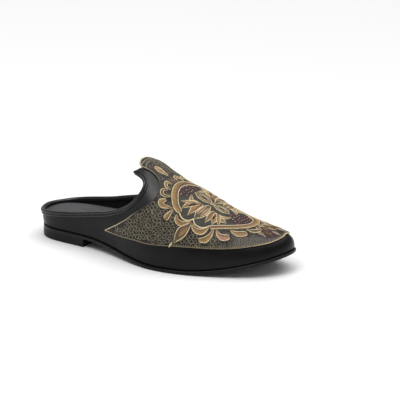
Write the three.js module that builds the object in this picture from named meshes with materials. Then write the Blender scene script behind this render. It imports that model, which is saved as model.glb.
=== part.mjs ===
// A backless leather slipper, the right shoe of a pair, in millimetres.
// It is modelled heel first: +X runs from the back of the heel to the toe, +Y to the inner
// side of the foot and +Z up from the floor. The finished group is then centred over its box.
//
// One function, lastPoint, gives the form of the last. The upper, the panel, the binding and
// the edge of the insole are all taken from it, so they nest without touching.

import * as THREE from 'three';

// Driving sizes
const LENGTH = 298;             // outsole, heel to toe
const BALL_WIDTH = 110;         // outsole, across the ball
const INSTEP_HEIGHT = 99.4;     // floor to the upper's ridge at the end of the lobe
const HEEL_HEIGHT = 9;          // heel block
const SOLE_THICKNESS = 4;
const TOE_SPRING = 20.2;        // rise of the sole at the toe
const WALL = 2;                 // leather and lining of the upper
const PANEL_THICKNESS = 1.2;
const CLEARANCE = 0.3;          // gap between pieces that meet
const FOLD_CLEARANCE = 0.4;     // gap between the collar's edge and the binding folded over it
const HEEL_LENGTH = 66;         // back of the heel to its breast
const BALL_BACK = 174;          // the sole lies flat from here ...
const BALL_FRONT = 200;         // ... to here
const HEEL_PAD_HEIGHT = 26.6;   // floor to the top of the insole at the heel
const FOREFOOT_PAD = 3;         // thickness of the insole at the ball and toe
const PAD_END = 84;             // the insole is level over the heel as far as here ...
const SLOPE_END = 178;          // ... and comes down to its thin forefoot here
const TOE_CURVE = 1.67;         // how late the sole starts to rise to the toe: 1 is a straight ramp
const CREST_ROUNDING = 0.35;    // share of a section's half width that its rounded top takes
const HEEL_LEAN = { length: 35, reach: 90 };    // sections lean forward over the heel's stretch
const TOE_LEAN = { length: 14, reach: 60 };     // ... and back over the toe's

// Numbers of facets
const HEEL_COLUMNS = 20;        // heel seam to the start of the throat
const FACING_COLUMNS = 3;       // collar to panel, across the facing
const LOBE_COLUMNS = 4;
const VAMP_COLUMNS = 20;
const BAND_ROWS = 3;            // sole to the lower edge of the panel
const CORNER_ROWS = 4;
const THROAT_ROWS = 6;
const LOBE_ROWS = 4;
const SOLE_STEPS = 36;          // along each side
const INSOLE_STEPS = 26;
const HEEL_STEPS = 16;
const CURVE_SAMPLES = 400;      // along an edge, to find even steps
const HALVINGS = 40;            // to find a place by halving its range

// Sections of the last, a row for each station from the back of the heel (0) to the toe (10).
// at is a share of the length, and lateral and medial are shares of the ball width to each side
// of the heel line. flareOut and flareIn are how far the wall bulges on the lateral and the medial
// side, in millimetres. fullness is 1 for a round section and more for a steeper, flatter one.
// inset is the margin of sole outside the upper.
const SECTIONS = [
  { at: -0.007, lateral: 0.000, medial: 0.000, flareOut: 6.5, flareIn: 6.5, fullness: 1.10, inset: 0.4 },
  { at: 0.003, lateral: 0.168, medial: 0.168, flareOut: 6.5, flareIn: 6.5, fullness: 1.10, inset: 0.4 },
  { at: 0.067, lateral: 0.282, medial: 0.291, flareOut: 6.5, flareIn: 6.5, fullness: 1.10, inset: 0.5 },
  { at: 0.208, lateral: 0.293, medial: 0.300, flareOut: 5.6, flareIn: 6.5, fullness: 1.10, inset: 0.8 },
  { at: 0.362, lateral: 0.391, medial: 0.309, flareOut: 3.2, flareIn: 6.4, fullness: 1.05, inset: 1.5 },
  { at: 0.510, lateral: 0.555, medial: 0.364, flareOut: 1.9, flareIn: 3.0, fullness: 0.92, inset: 1.9 },
  { at: 0.644, lateral: 0.564, medial: 0.436, flareOut: 1.5, flareIn: 1.6, fullness: 0.86, inset: 2.0 },
  { at: 0.779, lateral: 0.455, medial: 0.436, flareOut: 1.3, flareIn: 1.3, fullness: 0.90, inset: 1.9 },
  { at: 0.886, lateral: 0.341, medial: 0.391, flareOut: 1.1, flareIn: 1.1, fullness: 0.92, inset: 1.8 },
  { at: 0.978, lateral: 0.173, medial: 0.282, flareOut: 1.0, flareIn: 1.0, fullness: 0.91, inset: 1.8 },
  { at: 1.010, lateral: -0.096, medial: 0.096, flareOut: 1.0, flareIn: 1.0, fullness: 0.90, inset: 1.8 },
];
const TOE_STATION = SECTIONS.length - 1;
const AROUND = 2 * TOE_STATION;

// The ridge along the top of the last. height is a share of the instep height, and side is how
// far the ridge lies to the medial side of the heel line, in millimetres.
const RIDGE = [
  { at: 0.067, height: 1.077, side: 0.0 },
  { at: 0.336, height: 1.031, side: -2.9 },
  { at: 0.426, height: 1.008, side: -6.4 },
  { at: 0.477, height: 0.986, side: -9.3 },
  { at: 0.554, height: 0.851, side: -10.2 },
  { at: 0.638, height: 0.740, side: -8.6 },
  { at: 0.721, height: 0.613, side: -5.1 },
  { at: 0.805, height: 0.511, side: -0.7 },
  { at: 0.879, height: 0.456, side: 3.9 },
  { at: 0.953, height: 0.416, side: 8.5 },
];

// Edges drawn on the last. station counts along the sections, and rise runs from 0 at the sole
// to 1 at the ridge. Both sides of the shoe use the same tables.
const THROAT_START = { station: 4.06, rise: 0.286 };
const QUARTER_TIP = { station: 4.44, rise: 0.722 };
const COLLAR = [
  { station: 0.00, rise: 0.117 },
  { station: 0.98, rise: 0.111 },
  { station: 1.62, rise: 0.121 },
  { station: 2.18, rise: 0.138 },
  { station: 2.90, rise: 0.171 },
  { station: 3.49, rise: 0.219 },
  { station: 3.80, rise: 0.249 },
  THROAT_START,
  { station: 4.31, rise: 0.327 },
  { station: 4.58, rise: 0.392 },
  { station: 4.76, rise: 0.470 },
  { station: 4.87, rise: 0.564 },
  { station: 4.88, rise: 0.648 },
  { station: 4.80, rise: 0.689 },
  { station: 4.68, rise: 0.706 },
  QUARTER_TIP,
];
const PANEL_CORNER = { station: 3.83, rise: 0.117 };
const FACING_START = { station: 4.25, rise: 0.206 };
const PANEL_BEND = { station: 5.28, rise: 0.698 };
const NOTCH = { station: 4.59, rise: 0.819 };
const BACK_EDGE = [
  PANEL_CORNER,
  { station: 4.04, rise: 0.162 },
  FACING_START,
  { station: 4.60, rise: 0.287 },
  { station: 4.90, rise: 0.387 },
  { station: 5.14, rise: 0.497 },
  { station: 5.26, rise: 0.601 },
  PANEL_BEND,
  { station: 5.22, rise: 0.770 },
  { station: 5.12, rise: 0.820 },
  { station: 4.95, rise: 0.838 },
  { station: 4.77, rise: 0.830 },
  NOTCH,
];
const LOBE_END = { station: 4.42, rise: 1.000 };
const LOBE_EDGE = [
  NOTCH,
  { station: 4.49, rise: 0.857 },
  { station: 4.43, rise: 0.917 },
  { station: 4.41, rise: 0.970 },
  LOBE_END,
];
const PANEL_FRONT = { station: 10, rise: 0.746 };
const LOWER_EDGE = [
  PANEL_CORNER,
  { station: 4.36, rise: 0.127 },
  { station: 5.00, rise: 0.154 },
  { station: 5.47, rise: 0.180 },
  { station: 5.92, rise: 0.212 },
  { station: 6.54, rise: 0.268 },
  { station: 7.00, rise: 0.303 },
  { station: 7.51, rise: 0.337 },
  { station: 7.86, rise: 0.363 },
  { station: 8.25, rise: 0.407 },
  { station: 8.55, rise: 0.447 },
  { station: 8.87, rise: 0.500 },
  { station: 9.19, rise: 0.572 },
  { station: 9.59, rise: 0.670 },
  PANEL_FRONT,
];
const HEEL_BOTTOM = { station: 0, rise: 0 };
const FEATHER_CORNER = { station: 3.66, rise: 0 };
const TOE_BOTTOM = { station: 10, rise: 0 };
const RIDGE_BEND = { station: 5.35, rise: 1 };
const RIDGE_END = { station: 10, rise: 1 };

// Millimetres that one station and one unit of rise are worth on average, for even spacing,
// and the highest rise at which the surface's direction is worked out
const STATION_SPAN = 30;
const RISE_SPAN = 110;
const BESIDE_RIDGE = 0.97;

// Profile of the binding that is folded over the collar. out is along the outside face of the
// upper's wall, and up is past the upper's cut edge.
const BINDING = [
  { out: FOLD_CLEARANCE, up: -3.4 },
  { out: 1.2, up: -3.4 },
  { out: 1.4, up: -2.0 },
  { out: 1.5, up: 0.0 },
  { out: 0.6, up: 1.5 },
  { out: -1.0, up: 2.0 },
  { out: -2.6, up: 1.5 },
  { out: -3.5, up: 0.0 },
  { out: -3.2, up: -2.8 },
  { out: -WALL - FOLD_CLEARANCE, up: -2.8 },
  { out: -WALL - FOLD_CLEARANCE, up: FOLD_CLEARANCE },
  { out: FOLD_CLEARANCE, up: FOLD_CLEARANCE },
];

const blackLeather = new THREE.MeshStandardMaterial({ color: 0x232326, roughness: 0.45, metalness: 0 });
const bindingLeather = new THREE.MeshStandardMaterial({ color: 0x2a2a2d, roughness: 0.4, metalness: 0 });
const patternedLeather = new THREE.MeshStandardMaterial({ color: 0x6b5c44, roughness: 0.6, metalness: 0 });
const soleLeather = new THREE.MeshStandardMaterial({ color: 0x1c1c1e, roughness: 0.55, metalness: 0 });
const heelRubber = new THREE.MeshStandardMaterial({ color: 0x222224, roughness: 0.65, metalness: 0 });
const insoleLeather = new THREE.MeshStandardMaterial({ color: 0x4c4c50, roughness: 0.7, metalness: 0 });

// A natural cubic spline through one column of a table, straight past its ends
function splineThrough(rows, key, value) {
  const x = rows.map((row) => row[key]);
  const y = rows.map((row) => row[value]);
  const last = x.length - 1;
  const bend = new Array(last + 1).fill(0);
  const carry = new Array(last + 1).fill(0);
  for (let i = 1; i < last; i++) {
    const before = x[i] - x[i - 1];
    const after = x[i + 1] - x[i];
    const share = before / (before + after);
    const pivot = share * carry[i - 1] + 2;
    const turn = (y[i + 1] - y[i]) / after - (y[i] - y[i - 1]) / before;
    carry[i] = (share - 1) / pivot;
    bend[i] = ((6 * turn) / (before + after) - share * bend[i - 1]) / pivot;
  }
  for (let i = last - 1; i > 0; i--) bend[i] += carry[i] * bend[i + 1];
  return (at) => {
    let i = 0;
    while (i < last - 1 && at > x[i + 1]) i++;
    const span = x[i + 1] - x[i];
    const a = (x[i + 1] - at) / span;
    const b = (at - x[i]) / span;
    const straight = a * y[i] + b * y[i + 1];
    if (a > 1 || b > 1) {
      const end = a > 1 ? 0 : last;
      const slope = (y[i + 1] - y[i]) / span
        + ((a > 1 ? -1 : 1) * span * (2 * bend[end] + bend[a > 1 ? 1 : last - 1])) / 6;
      return y[end] + slope * (at - x[end]);
    }
    return straight + (((a ** 3 - a) * bend[i] + (b ** 3 - b) * bend[i + 1]) * span * span) / 6;
  };
}

const ridgeHeight = splineThrough(RIDGE, 'at', 'height');
const ridgeSide = splineThrough(RIDGE, 'at', 'side');
const stationRows = SECTIONS.map((row, station) => ({ ...row, station }));
const fullnessAt = splineThrough(stationRows, 'station', 'fullness');
const insetAt = splineThrough(stationRows, 'station', 'inset');
const lateralFlareAt = splineThrough(stationRows, 'station', 'flareOut');
const medialFlareAt = splineThrough(stationRows, 'station', 'flareIn');

// A place round the shoe counts from 0 at the heel, along the lateral side to the toe, and back
// along the medial side.
function stationOf(place) {
  return place <= TOE_STATION ? place : AROUND - place;
}

function outlineControl(index) {
  const wrapped = (index + AROUND) % AROUND;
  const row = SECTIONS[stationOf(wrapped)];
  const across = wrapped <= TOE_STATION ? -row.lateral : row.medial;
  return [row.at * LENGTH, across * BALL_WIDTH];
}

// The sole's outline: a closed cubic spline pulled by the table's rows
function outlinePoint(place) {
  const wrapped = (place + AROUND) % AROUND;
  const index = Math.floor(wrapped);
  const t = wrapped - index;
  const weights = [(1 - t) ** 3, 3 * t ** 3 - 6 * t ** 2 + 4, -3 * t ** 3 + 3 * t ** 2 + 3 * t + 1, t ** 3];
  const point = new THREE.Vector2();
  weights.forEach((weight, k) => {
    const [x, y] = outlineControl(index + k - 1);
    point.x += (weight * x) / 6;
    point.y += (weight * y) / 6;
  });
  return point;
}

function outlineNormal(place) {
  const step = 0.001;
  const along = outlinePoint(place + step).sub(outlinePoint(place - step)).normalize();
  return new THREE.Vector2(along.y, -along.x);
}

function insetOutline(place, inset) {
  return outlinePoint(place).addScaledVector(outlineNormal(place), -inset);
}

// Underside of the sole: up on the heel, flat at the ball and rising to the toe
function soleUnderside(x) {
  const back = THREE.MathUtils.clamp((BALL_BACK - x) / (BALL_BACK - HEEL_LENGTH), 0, 1);
  const front = Math.max(0, (x - BALL_FRONT) / (LENGTH - BALL_FRONT));
  return HEEL_HEIGHT * back * back * (3 - 2 * back) + TOE_SPRING * front ** TOE_CURVE;
}

// Where the section that starts at x on the outline meets the ridge. Sections lean forward at
// the heel and back at the toe.
function ridgeFoot(x) {
  const heelLean = HEEL_LEAN.length * Math.max(0, 1 - x / HEEL_LEAN.reach) ** 2;
  const toeLean = TOE_LEAN.length * Math.max(0, 1 - (LENGTH - x) / TOE_LEAN.reach) ** 2;
  return x + heelLean - toeLean;
}

// A point on the outside of the last
function lastPoint(place, rise) {
  const edge = outlinePoint(place);
  const outward = outlineNormal(place);
  const station = stationOf((place + AROUND) % AROUND);
  const foot = edge.clone().addScaledVector(outward, -insetAt(station));
  const at = ridgeFoot(edge.x) / LENGTH;
  const angle = (rise * Math.PI) / 2;
  const full = fullnessAt(station);
  const across = Math.max(0, Math.cos(angle));
  const rounded = (across ** 2 + CREST_ROUNDING ** 2) / (1 + CREST_ROUNDING ** 2);
  const inward = 1 - across * rounded ** ((full - 1) / 2);
  const upward = Math.sin(angle) ** Math.sqrt(full);
  const flareAt = place <= TOE_STATION ? lateralFlareAt : medialFlareAt;
  const flare = flareAt(station) * Math.sin(Math.PI * rise);
  const x = foot.x + (at * LENGTH - foot.x) * inward;
  const y = foot.y + (ridgeSide(at) - foot.y) * inward;
  const bottom = soleUnderside(foot.x) + SOLE_THICKNESS + CLEARANCE;
  const top = ridgeHeight(x / LENGTH) * INSTEP_HEIGHT;
  const z = bottom + (top - bottom) * upward;
  return new THREE.Vector3(x + outward.x * flare, y + outward.y * flare, z);
}

// The sections draw together at the ridge, so the direction there is taken just beside it
function lastNormal(place, rise) {
  const step = 0.002;
  const middle = THREE.MathUtils.clamp(rise, step, BESIDE_RIDGE);
  const along = lastPoint(place + step, middle).sub(lastPoint(place - step, middle));
  const up = lastPoint(place, middle + step).sub(lastPoint(place, middle - step));
  return along.cross(up).normalize();
}

// A node of the surface: side is lateral, medial or centre, and a centre node is shared
function nodePoint(node, offset) {
  const places = { lateral: [node.station], medial: [AROUND - node.station] };
  places.centre = [node.station, AROUND - node.station];
  const point = new THREE.Vector3();
  const normal = new THREE.Vector3();
  for (const place of places[node.side]) {
    point.add(lastPoint(place, node.rise));
    normal.add(lastNormal(place, node.rise));
  }
  point.divideScalar(places[node.side].length);
  return point.addScaledVector(normal.normalize(), offset);
}

// The stretch of a curve through a table between two of its rows, cut into even steps
function cutCurve(rows, start, end, steps) {
  const points = rows.map((row) => new THREE.Vector2(row.station * STATION_SPAN, row.rise * RISE_SPAN));
  const curve = new THREE.SplineCurve(points);
  const from = rows.indexOf(start) / (rows.length - 1);
  const to = rows.indexOf(end) / (rows.length - 1);
  const travelled = [0];
  for (let i = 1; i <= CURVE_SAMPLES; i++) {
    const before = curve.getPoint(from + ((to - from) * (i - 1)) / CURVE_SAMPLES);
    const here = curve.getPoint(from + ((to - from) * i) / CURVE_SAMPLES);
    travelled.push(travelled[i - 1] + here.distanceTo(before));
  }
  const cuts = [start];
  let i = 0;
  for (let step = 1; step < steps; step++) {
    const wanted = (travelled[CURVE_SAMPLES] * step) / steps;
    while (travelled[i + 1] < wanted) i++;
    const part = (wanted - travelled[i]) / (travelled[i + 1] - travelled[i]);
    const point = curve.getPoint(from + ((to - from) * (i + part)) / CURVE_SAMPLES);
    cuts.push({ station: point.x / STATION_SPAN, rise: point.y / RISE_SPAN });
  }
  return [...cuts, end];
}

function line(start, end, steps) {
  return cutCurve([start, end], start, end, steps);
}

// Two curves that meet, as one
function joined(first, second) {
  return [...first, ...second.slice(1)];
}

// A four-sided patch filled in between its edges. Rows run from bottom to top.
function patch(bottom, top, left, right) {
  const columns = bottom.length - 1;
  const rows = left.length - 1;
  return left.map((start, j) => bottom.map((foot, i) => {
    if (j === 0) return foot;
    if (j === rows) return top[i];
    if (i === 0) return start;
    if (i === columns) return right[j];
    const a = i / columns;
    const b = j / rows;
    const mix = (key) => (1 - b) * foot[key] + b * top[i][key] + (1 - a) * start[key] + a * right[j][key]
      - (1 - a) * ((1 - b) * bottom[0][key] + b * top[0][key])
      - a * ((1 - b) * bottom[columns][key] + b * top[columns][key]);
    return { station: mix('station'), rise: mix('rise') };
  }));
}

// The edges of the patches of one side
const collarSide = cutCurve(COLLAR, COLLAR[0], THROAT_START, HEEL_COLUMNS);
const throat = cutCurve(COLLAR, THROAT_START, QUARTER_TIP, THROAT_ROWS + LOBE_COLUMNS);
const cornerEdge = cutCurve(BACK_EDGE, PANEL_CORNER, FACING_START, CORNER_ROWS);
const throatEdge = cutCurve(BACK_EDGE, FACING_START, PANEL_BEND, THROAT_ROWS);
const notchEdge = cutCurve(BACK_EDGE, PANEL_BEND, NOTCH, LOBE_COLUMNS);
const lobeEdge = cutCurve(LOBE_EDGE, NOTCH, LOBE_END, LOBE_ROWS);
const lowerEdge = cutCurve(LOWER_EDGE, PANEL_CORNER, PANEL_FRONT, VAMP_COLUMNS);
const heelSeam = line(HEEL_BOTTOM, COLLAR[0], BAND_ROWS + CORNER_ROWS);
const quarterFeather = line(HEEL_BOTTOM, FEATHER_CORNER, HEEL_COLUMNS + FACING_COLUMNS);
const vampFeather = line(FEATHER_CORNER, TOE_BOTTOM, VAMP_COLUMNS);
const bandBack = line(FEATHER_CORNER, PANEL_CORNER, BAND_ROWS);
const toeSeam = line(TOE_BOTTOM, PANEL_FRONT, BAND_ROWS);
const facingFoot = line(THROAT_START, FACING_START, FACING_COLUMNS);
const tipEdge = line(QUARTER_TIP, NOTCH, FACING_COLUMNS);
const bendLine = line(PANEL_BEND, RIDGE_BEND, LOBE_ROWS);
const lobeRidge = line(LOBE_END, RIDGE_BEND, LOBE_COLUMNS);
const vampRidge = line(RIDGE_BEND, RIDGE_END, VAMP_COLUMNS);
const panelSeam = line(PANEL_FRONT, RIDGE_END, CORNER_ROWS + THROAT_ROWS + LOBE_ROWS);

const quarterPatch = patch(
  quarterFeather,
  joined(collarSide, facingFoot),
  heelSeam,
  joined(bandBack, cornerEdge),
);
const facingPatch = patch(facingFoot, tipEdge, throat, joined(throatEdge, notchEdge));
const bandPatch = patch(vampFeather, lowerEdge, bandBack, toeSeam);
const vampPatch = patch(lowerEdge, vampRidge, joined(joined(cornerEdge, throatEdge), bendLine), panelSeam);
const lobePatch = patch(notchEdge.slice().reverse(), lobeRidge, lobeEdge, bendLine);

function isCentre(node) {
  return node.station === 0 || node.station === TOE_STATION || node.rise === 1;
}

// Joins patches from both sides of the shoe into one surface of shared nodes and triangles
function joinSides(patches) {
  const nodes = [];
  const indexOf = new Map();
  const triangles = [];
  const indexFor = (side, node) => {
    const shared = isCentre(node) ? 'centre' : side;
    const key = `${shared} ${node.station} ${node.rise}`;
    if (!indexOf.has(key)) {
      indexOf.set(key, nodes.length);
      nodes.push({ side: shared, station: node.station, rise: node.rise });
    }
    return indexOf.get(key);
  };
  for (const side of ['lateral', 'medial']) {
    for (const grid of patches) {
      for (let j = 0; j < grid.length - 1; j++) {
        for (let i = 0; i < grid[0].length - 1; i++) {
          const corners = [grid[j][i], grid[j][i + 1], grid[j + 1][i + 1], grid[j + 1][i]];
          const quad = corners.map((node) => indexFor(side, node));
          if (side === 'medial') quad.reverse();
          const [a, b, c, d] = quad;
          const gap = (p, q) => nodePoint(nodes[p], 0).distanceTo(nodePoint(nodes[q], 0));
          triangles.push(...(gap(a, c) <= gap(b, d) ? [[a, b, c], [a, c, d]] : [[a, b, d], [b, c, d]]));
        }
      }
    }
  }
  return { nodes, triangles };
}

function solidFrom(points, triangles) {
  const geometry = new THREE.BufferGeometry();
  const places = points.flatMap((point) => point.toArray());
  geometry.setAttribute('position', new THREE.Float32BufferAttribute(places, 3));
  geometry.setIndex(triangles.flat());
  geometry.computeVertexNormals();
  return geometry;
}

// A closed sheet between two offsets from the last, with a wall round every open edge
function sheet(surface, outer, inner) {
  const { nodes, triangles } = surface;
  const count = nodes.length;
  const outside = nodes.map((node) => nodePoint(node, outer));
  const inside = nodes.map((node) => nodePoint(node, inner));
  const faces = [...triangles, ...triangles.map(([a, b, c]) => [a + count, c + count, b + count])];
  const edges = new Set();
  for (const [a, b, c] of triangles) [[a, b], [b, c], [c, a]].forEach(([p, q]) => edges.add(`${p} ${q}`));
  for (const edge of edges) {
    const [p, q] = edge.split(' ').map(Number);
    if (!edges.has(`${q} ${p}`)) faces.push([q, p, p + count], [q, p + count, q + count]);
  }
  return solidFrom([...outside, ...inside], faces);
}

// Rings of points that are joined to each other and closed at both ends. Each ring runs round
// the shoe, and its ends are closed by straight rungs from the lateral side to the medial side.
function stackRings(rings) {
  const count = rings[0].length;
  const faces = [];
  for (let r = 0; r < rings.length - 1; r++) {
    for (let i = 0; i < count; i++) {
      const next = (i + 1) % count;
      const [a, b, c, d] = [i, next, next + count, i + count].map((index) => index + r * count);
      faces.push([a, b, c], [a, c, d]);
    }
  }
  const close = (base, flip) => {
    for (let i = 0; i < count / 2; i++) {
      const [a, b, c, d] = [i, i + 1, count - i - 1, (count - i) % count].map((index) => index + base);
      const pair = [];
      if (b !== c) pair.push([b, a, c]);
      if (a !== d) pair.push([c, a, d]);
      faces.push(...(flip ? pair.map((face) => face.reverse()) : pair));
    }
  };
  close(0, false);
  close((rings.length - 1) * count, true);
  return solidFrom(rings.flat(), faces);
}

// Places round the shoe, close together at heel and toe, where the outline turns most
function placesAround(steps) {
  const places = [];
  for (let i = 0; i < 2 * steps; i++) places.push((i * TOE_STATION) / steps);
  return places;
}

function outsoleGeometry() {
  const bevel = 0.9;
  const places = placesAround(SOLE_STEPS);
  const ring = (inset, height) => places.map((place) => {
    const point = insetOutline(place, inset);
    return new THREE.Vector3(point.x, point.y, soleUnderside(point.x) + height);
  });
  return stackRings([
    ring(bevel, 0),
    ring(0, bevel),
    ring(0, SOLE_THICKNESS - bevel),
    ring(bevel, SOLE_THICKNESS),
  ]);
}

// The place on the lateral side where the outline reaches x
function placeAt(x) {
  let low = 0;
  let high = TOE_STATION;
  for (let i = 0; i < HALVINGS; i++) {
    const middle = (low + high) / 2;
    if (outlinePoint(middle).x < x) low = middle;
    else high = middle;
  }
  return low;
}

function heelGeometry() {
  const bevel = 0.7;
  const breast = placeAt(HEEL_LENGTH);
  const places = [];
  for (let i = 0; i <= HEEL_STEPS; i++) places.push((breast * i) / HEEL_STEPS);
  for (let i = HEEL_STEPS; i > 0; i--) places.push(AROUND - (breast * i) / HEEL_STEPS);
  const ring = (inset, height) => places.map((place) => {
    const point = insetOutline(place, inset);
    return new THREE.Vector3(Math.min(point.x, HEEL_LENGTH - inset), point.y, height);
  });
  return stackRings([
    ring(bevel, 0),
    ring(0, bevel),
    ring(0, HEEL_HEIGHT - CLEARANCE),
  ]);
}

// Floor to the top of the insole: level over the heel, down to a thin layer under the ball
function insoleTop(x) {
  const slope = THREE.MathUtils.smoothstep(x, PAD_END, SLOPE_END);
  const forefoot = soleUnderside(x) + SOLE_THICKNESS + CLEARANCE + FOREFOOT_PAD;
  return HEEL_PAD_HEIGHT * (1 - slope) + forefoot * slope;
}

// The rise at which the last reaches a height above the floor
function riseAtHeight(place, height) {
  let low = 0;
  let high = 1;
  for (let i = 0; i < HALVINGS; i++) {
    const middle = (low + high) / 2;
    if (lastPoint(place, middle).z < height) low = middle;
    else high = middle;
  }
  return low;
}

function insoleGeometry() {
  const gap = WALL + 0.5;
  const bottomEdge = 0.4;
  const roundedEdge = 1.8;
  const crown = { inset: 7, height: 1.4, fullTo: 90, end: 150 };
  const places = placesAround(INSOLE_STEPS);
  const wallPoint = (place, height, inset) => {
    const rise = riseAtHeight(place, height);
    const point = lastPoint(place, rise).addScaledVector(lastNormal(place, rise), -gap);
    const outward = outlineNormal(place);
    point.x -= outward.x * inset;
    point.y -= outward.y * inset;
    return point;
  };
  const ring = (inset, heightAt) => places.map((place) => {
    const height = heightAt(outlinePoint(place).x);
    const point = wallPoint(place, height, inset);
    point.z = heightAt(point.x);
    return point;
  });
  const bottom = (x) => soleUnderside(x) + SOLE_THICKNESS + CLEARANCE;
  const crownAt = (x) => crown.height * (1 - THREE.MathUtils.smoothstep(x, crown.fullTo, crown.end));
  return stackRings([
    ring(bottomEdge, bottom),
    ring(0, (x) => insoleTop(x) - roundedEdge),
    ring(roundedEdge, insoleTop),
    ring(crown.inset, (x) => insoleTop(x) + crownAt(x)),
  ]);
}

// The binding follows the collar from one quarter tip round the heel to the other
function bindingGeometry() {
  const collarRow = quarterPatch.length - 1;
  const half = collarSide.map((edge, column) => ({ edge, below: quarterPatch[collarRow - 1][column] }));
  facingPatch.slice(1).forEach((row) => half.push({ edge: row[0], below: row[1] }));
  const stop = (place, side) => ({ edge: { ...place.edge, side }, below: { ...place.below, side } });
  const route = [
    ...half.slice(1).reverse().map((place) => stop(place, 'lateral')),
    stop(half[0], 'centre'),
    ...half.slice(1).map((place) => stop(place, 'medial')),
  ];
  const edge = route.map((stop) => nodePoint(stop.edge, 0));
  const points = [];
  route.forEach((stop, i) => {
    const along = edge[Math.min(i + 1, edge.length - 1)].clone().sub(edge[Math.max(i - 1, 0)]).normalize();
    const out = nodePoint(stop.edge, 1).sub(edge[i]);
    const up = along.clone().cross(out).normalize();
    if (up.dot(edge[i].clone().sub(nodePoint(stop.below, 0))) < 0) up.negate();
    for (const row of BINDING) {
      points.push(edge[i].clone().addScaledVector(out, row.out).addScaledVector(up, row.up));
    }
  });
  const count = BINDING.length;
  const faces = [];
  for (let s = 0; s < route.length - 1; s++) {
    for (let i = 0; i < count; i++) {
      const next = (i + 1) % count;
      const [a, b, c, d] = [s * count + i, s * count + next, (s + 1) * count + next, (s + 1) * count + i];
      faces.push([a, b, c], [a, c, d]);
    }
  }
  const profile = BINDING.map((row) => new THREE.Vector2(row.out, row.up));
  const end = (route.length - 1) * count;
  for (const [a, b, c] of THREE.ShapeUtils.triangulateShape(profile, [])) {
    faces.push([a, c, b], [a + end, b + end, c + end]);
  }
  return solidFrom(points, faces);
}

const shoe = new THREE.Group();

function add(name, geometry, material) {
  const mesh = new THREE.Mesh(geometry, material);
  mesh.name = name;
  shoe.add(mesh);
}

add('outsole', outsoleGeometry(), soleLeather);
add('heel', heelGeometry(), heelRubber);
add('insole', insoleGeometry(), insoleLeather);
const underPanel = [vampPatch, lobePatch];
const upperSurface = joinSides([quarterPatch, facingPatch, bandPatch, ...underPanel]);
add('upper', sheet(upperSurface, 0, -WALL), blackLeather);
add('vamp_panel', sheet(joinSides(underPanel), CLEARANCE + PANEL_THICKNESS, CLEARANCE), patternedLeather);
add('collar_binding', bindingGeometry(), bindingLeather);

const box = new THREE.Box3().setFromObject(shoe);
const middle = box.getCenter(new THREE.Vector3());
shoe.position.set(-middle.x, -middle.y, 0);

export default shoe;
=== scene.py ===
import math
from collections import namedtuple

import bmesh
import bpy
import numpy as np
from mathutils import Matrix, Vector


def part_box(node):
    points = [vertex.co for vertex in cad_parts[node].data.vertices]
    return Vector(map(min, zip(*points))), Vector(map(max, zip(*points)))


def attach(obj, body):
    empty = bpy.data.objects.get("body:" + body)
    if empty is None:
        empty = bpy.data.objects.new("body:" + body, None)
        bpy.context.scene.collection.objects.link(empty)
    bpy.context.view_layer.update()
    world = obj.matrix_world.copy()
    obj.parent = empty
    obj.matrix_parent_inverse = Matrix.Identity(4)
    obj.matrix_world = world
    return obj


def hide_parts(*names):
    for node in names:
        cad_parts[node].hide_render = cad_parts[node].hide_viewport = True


bl_info = {
    "name": "Backless Leather Mule",
    "version": (1, 0, 0),
    "blender": (4, 5, 0),
    "location": "3D View > Sidebar > Mule",
    "description": "Builds the finished surfaces of a right-foot leather mule round its fixed frame",
    "category": "Object",
}

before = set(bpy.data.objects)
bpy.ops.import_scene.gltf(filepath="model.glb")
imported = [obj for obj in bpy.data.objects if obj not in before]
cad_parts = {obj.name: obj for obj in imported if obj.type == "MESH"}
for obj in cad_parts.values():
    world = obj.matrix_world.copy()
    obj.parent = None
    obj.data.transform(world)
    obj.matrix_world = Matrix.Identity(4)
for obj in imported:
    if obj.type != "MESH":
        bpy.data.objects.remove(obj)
bpy.context.view_layer.update()

# All shapes are worked out in millimetres, heel first: +X runs from the back of the heel to the
# toe, +Y to the inner side of the foot and +Z up. They are put in the frame as they become meshes.
MM = 0.001

# Driving sizes of the last and the sole
LENGTH = 298.0
BALL_WIDTH = 110.0
INSTEP_HEIGHT = 99.4
HEEL_HEIGHT = 9.0
SOLE_THICKNESS = 4.0
TOE_SPRING = 20.2
TOE_CURVE = 1.67
HEEL_LENGTH = 66.0
BALL_BACK = 174.0
BALL_FRONT = 200.0
HEEL_PAD_HEIGHT = 26.6
FOREFOOT_PAD = 3.0
PAD_END = 84.0
SLOPE_END = 178.0
CREST_ROUNDING = 0.35
HEEL_LEAN_LENGTH = 35.0
HEEL_LEAN_REACH = 90.0
TOE_LEAN_LENGTH = 14.0
TOE_LEAN_REACH = 60.0
PIECE_GAP = 0.3

# Sections of the last, a row for each station from the back of the heel to the toe. at is a share
# of the length, lateral and medial are shares of the ball width, and the rest are as on the last.
Section = namedtuple("Section", "at lateral medial flare_out flare_in fullness inset")
SECTIONS = (
    Section(-0.007, 0.000, 0.000, 6.5, 6.5, 1.10, 0.4),
    Section(0.003, 0.168, 0.168, 6.5, 6.5, 1.10, 0.4),
    Section(0.067, 0.282, 0.291, 6.5, 6.5, 1.10, 0.5),
    Section(0.208, 0.293, 0.300, 5.6, 6.5, 1.10, 0.8),
    Section(0.362, 0.391, 0.309, 3.2, 6.4, 1.05, 1.5),
    Section(0.510, 0.555, 0.364, 1.9, 3.0, 0.92, 1.9),
    Section(0.644, 0.564, 0.436, 1.5, 1.6, 0.86, 2.0),
    Section(0.779, 0.455, 0.436, 1.3, 1.3, 0.90, 1.9),
    Section(0.886, 0.341, 0.391, 1.1, 1.1, 0.92, 1.8),
    Section(0.978, 0.173, 0.282, 1.0, 1.0, 0.91, 1.8),
    Section(1.010, -0.096, 0.096, 1.0, 1.0, 0.90, 1.8),
)
TOE_STATION = len(SECTIONS) - 1
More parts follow.
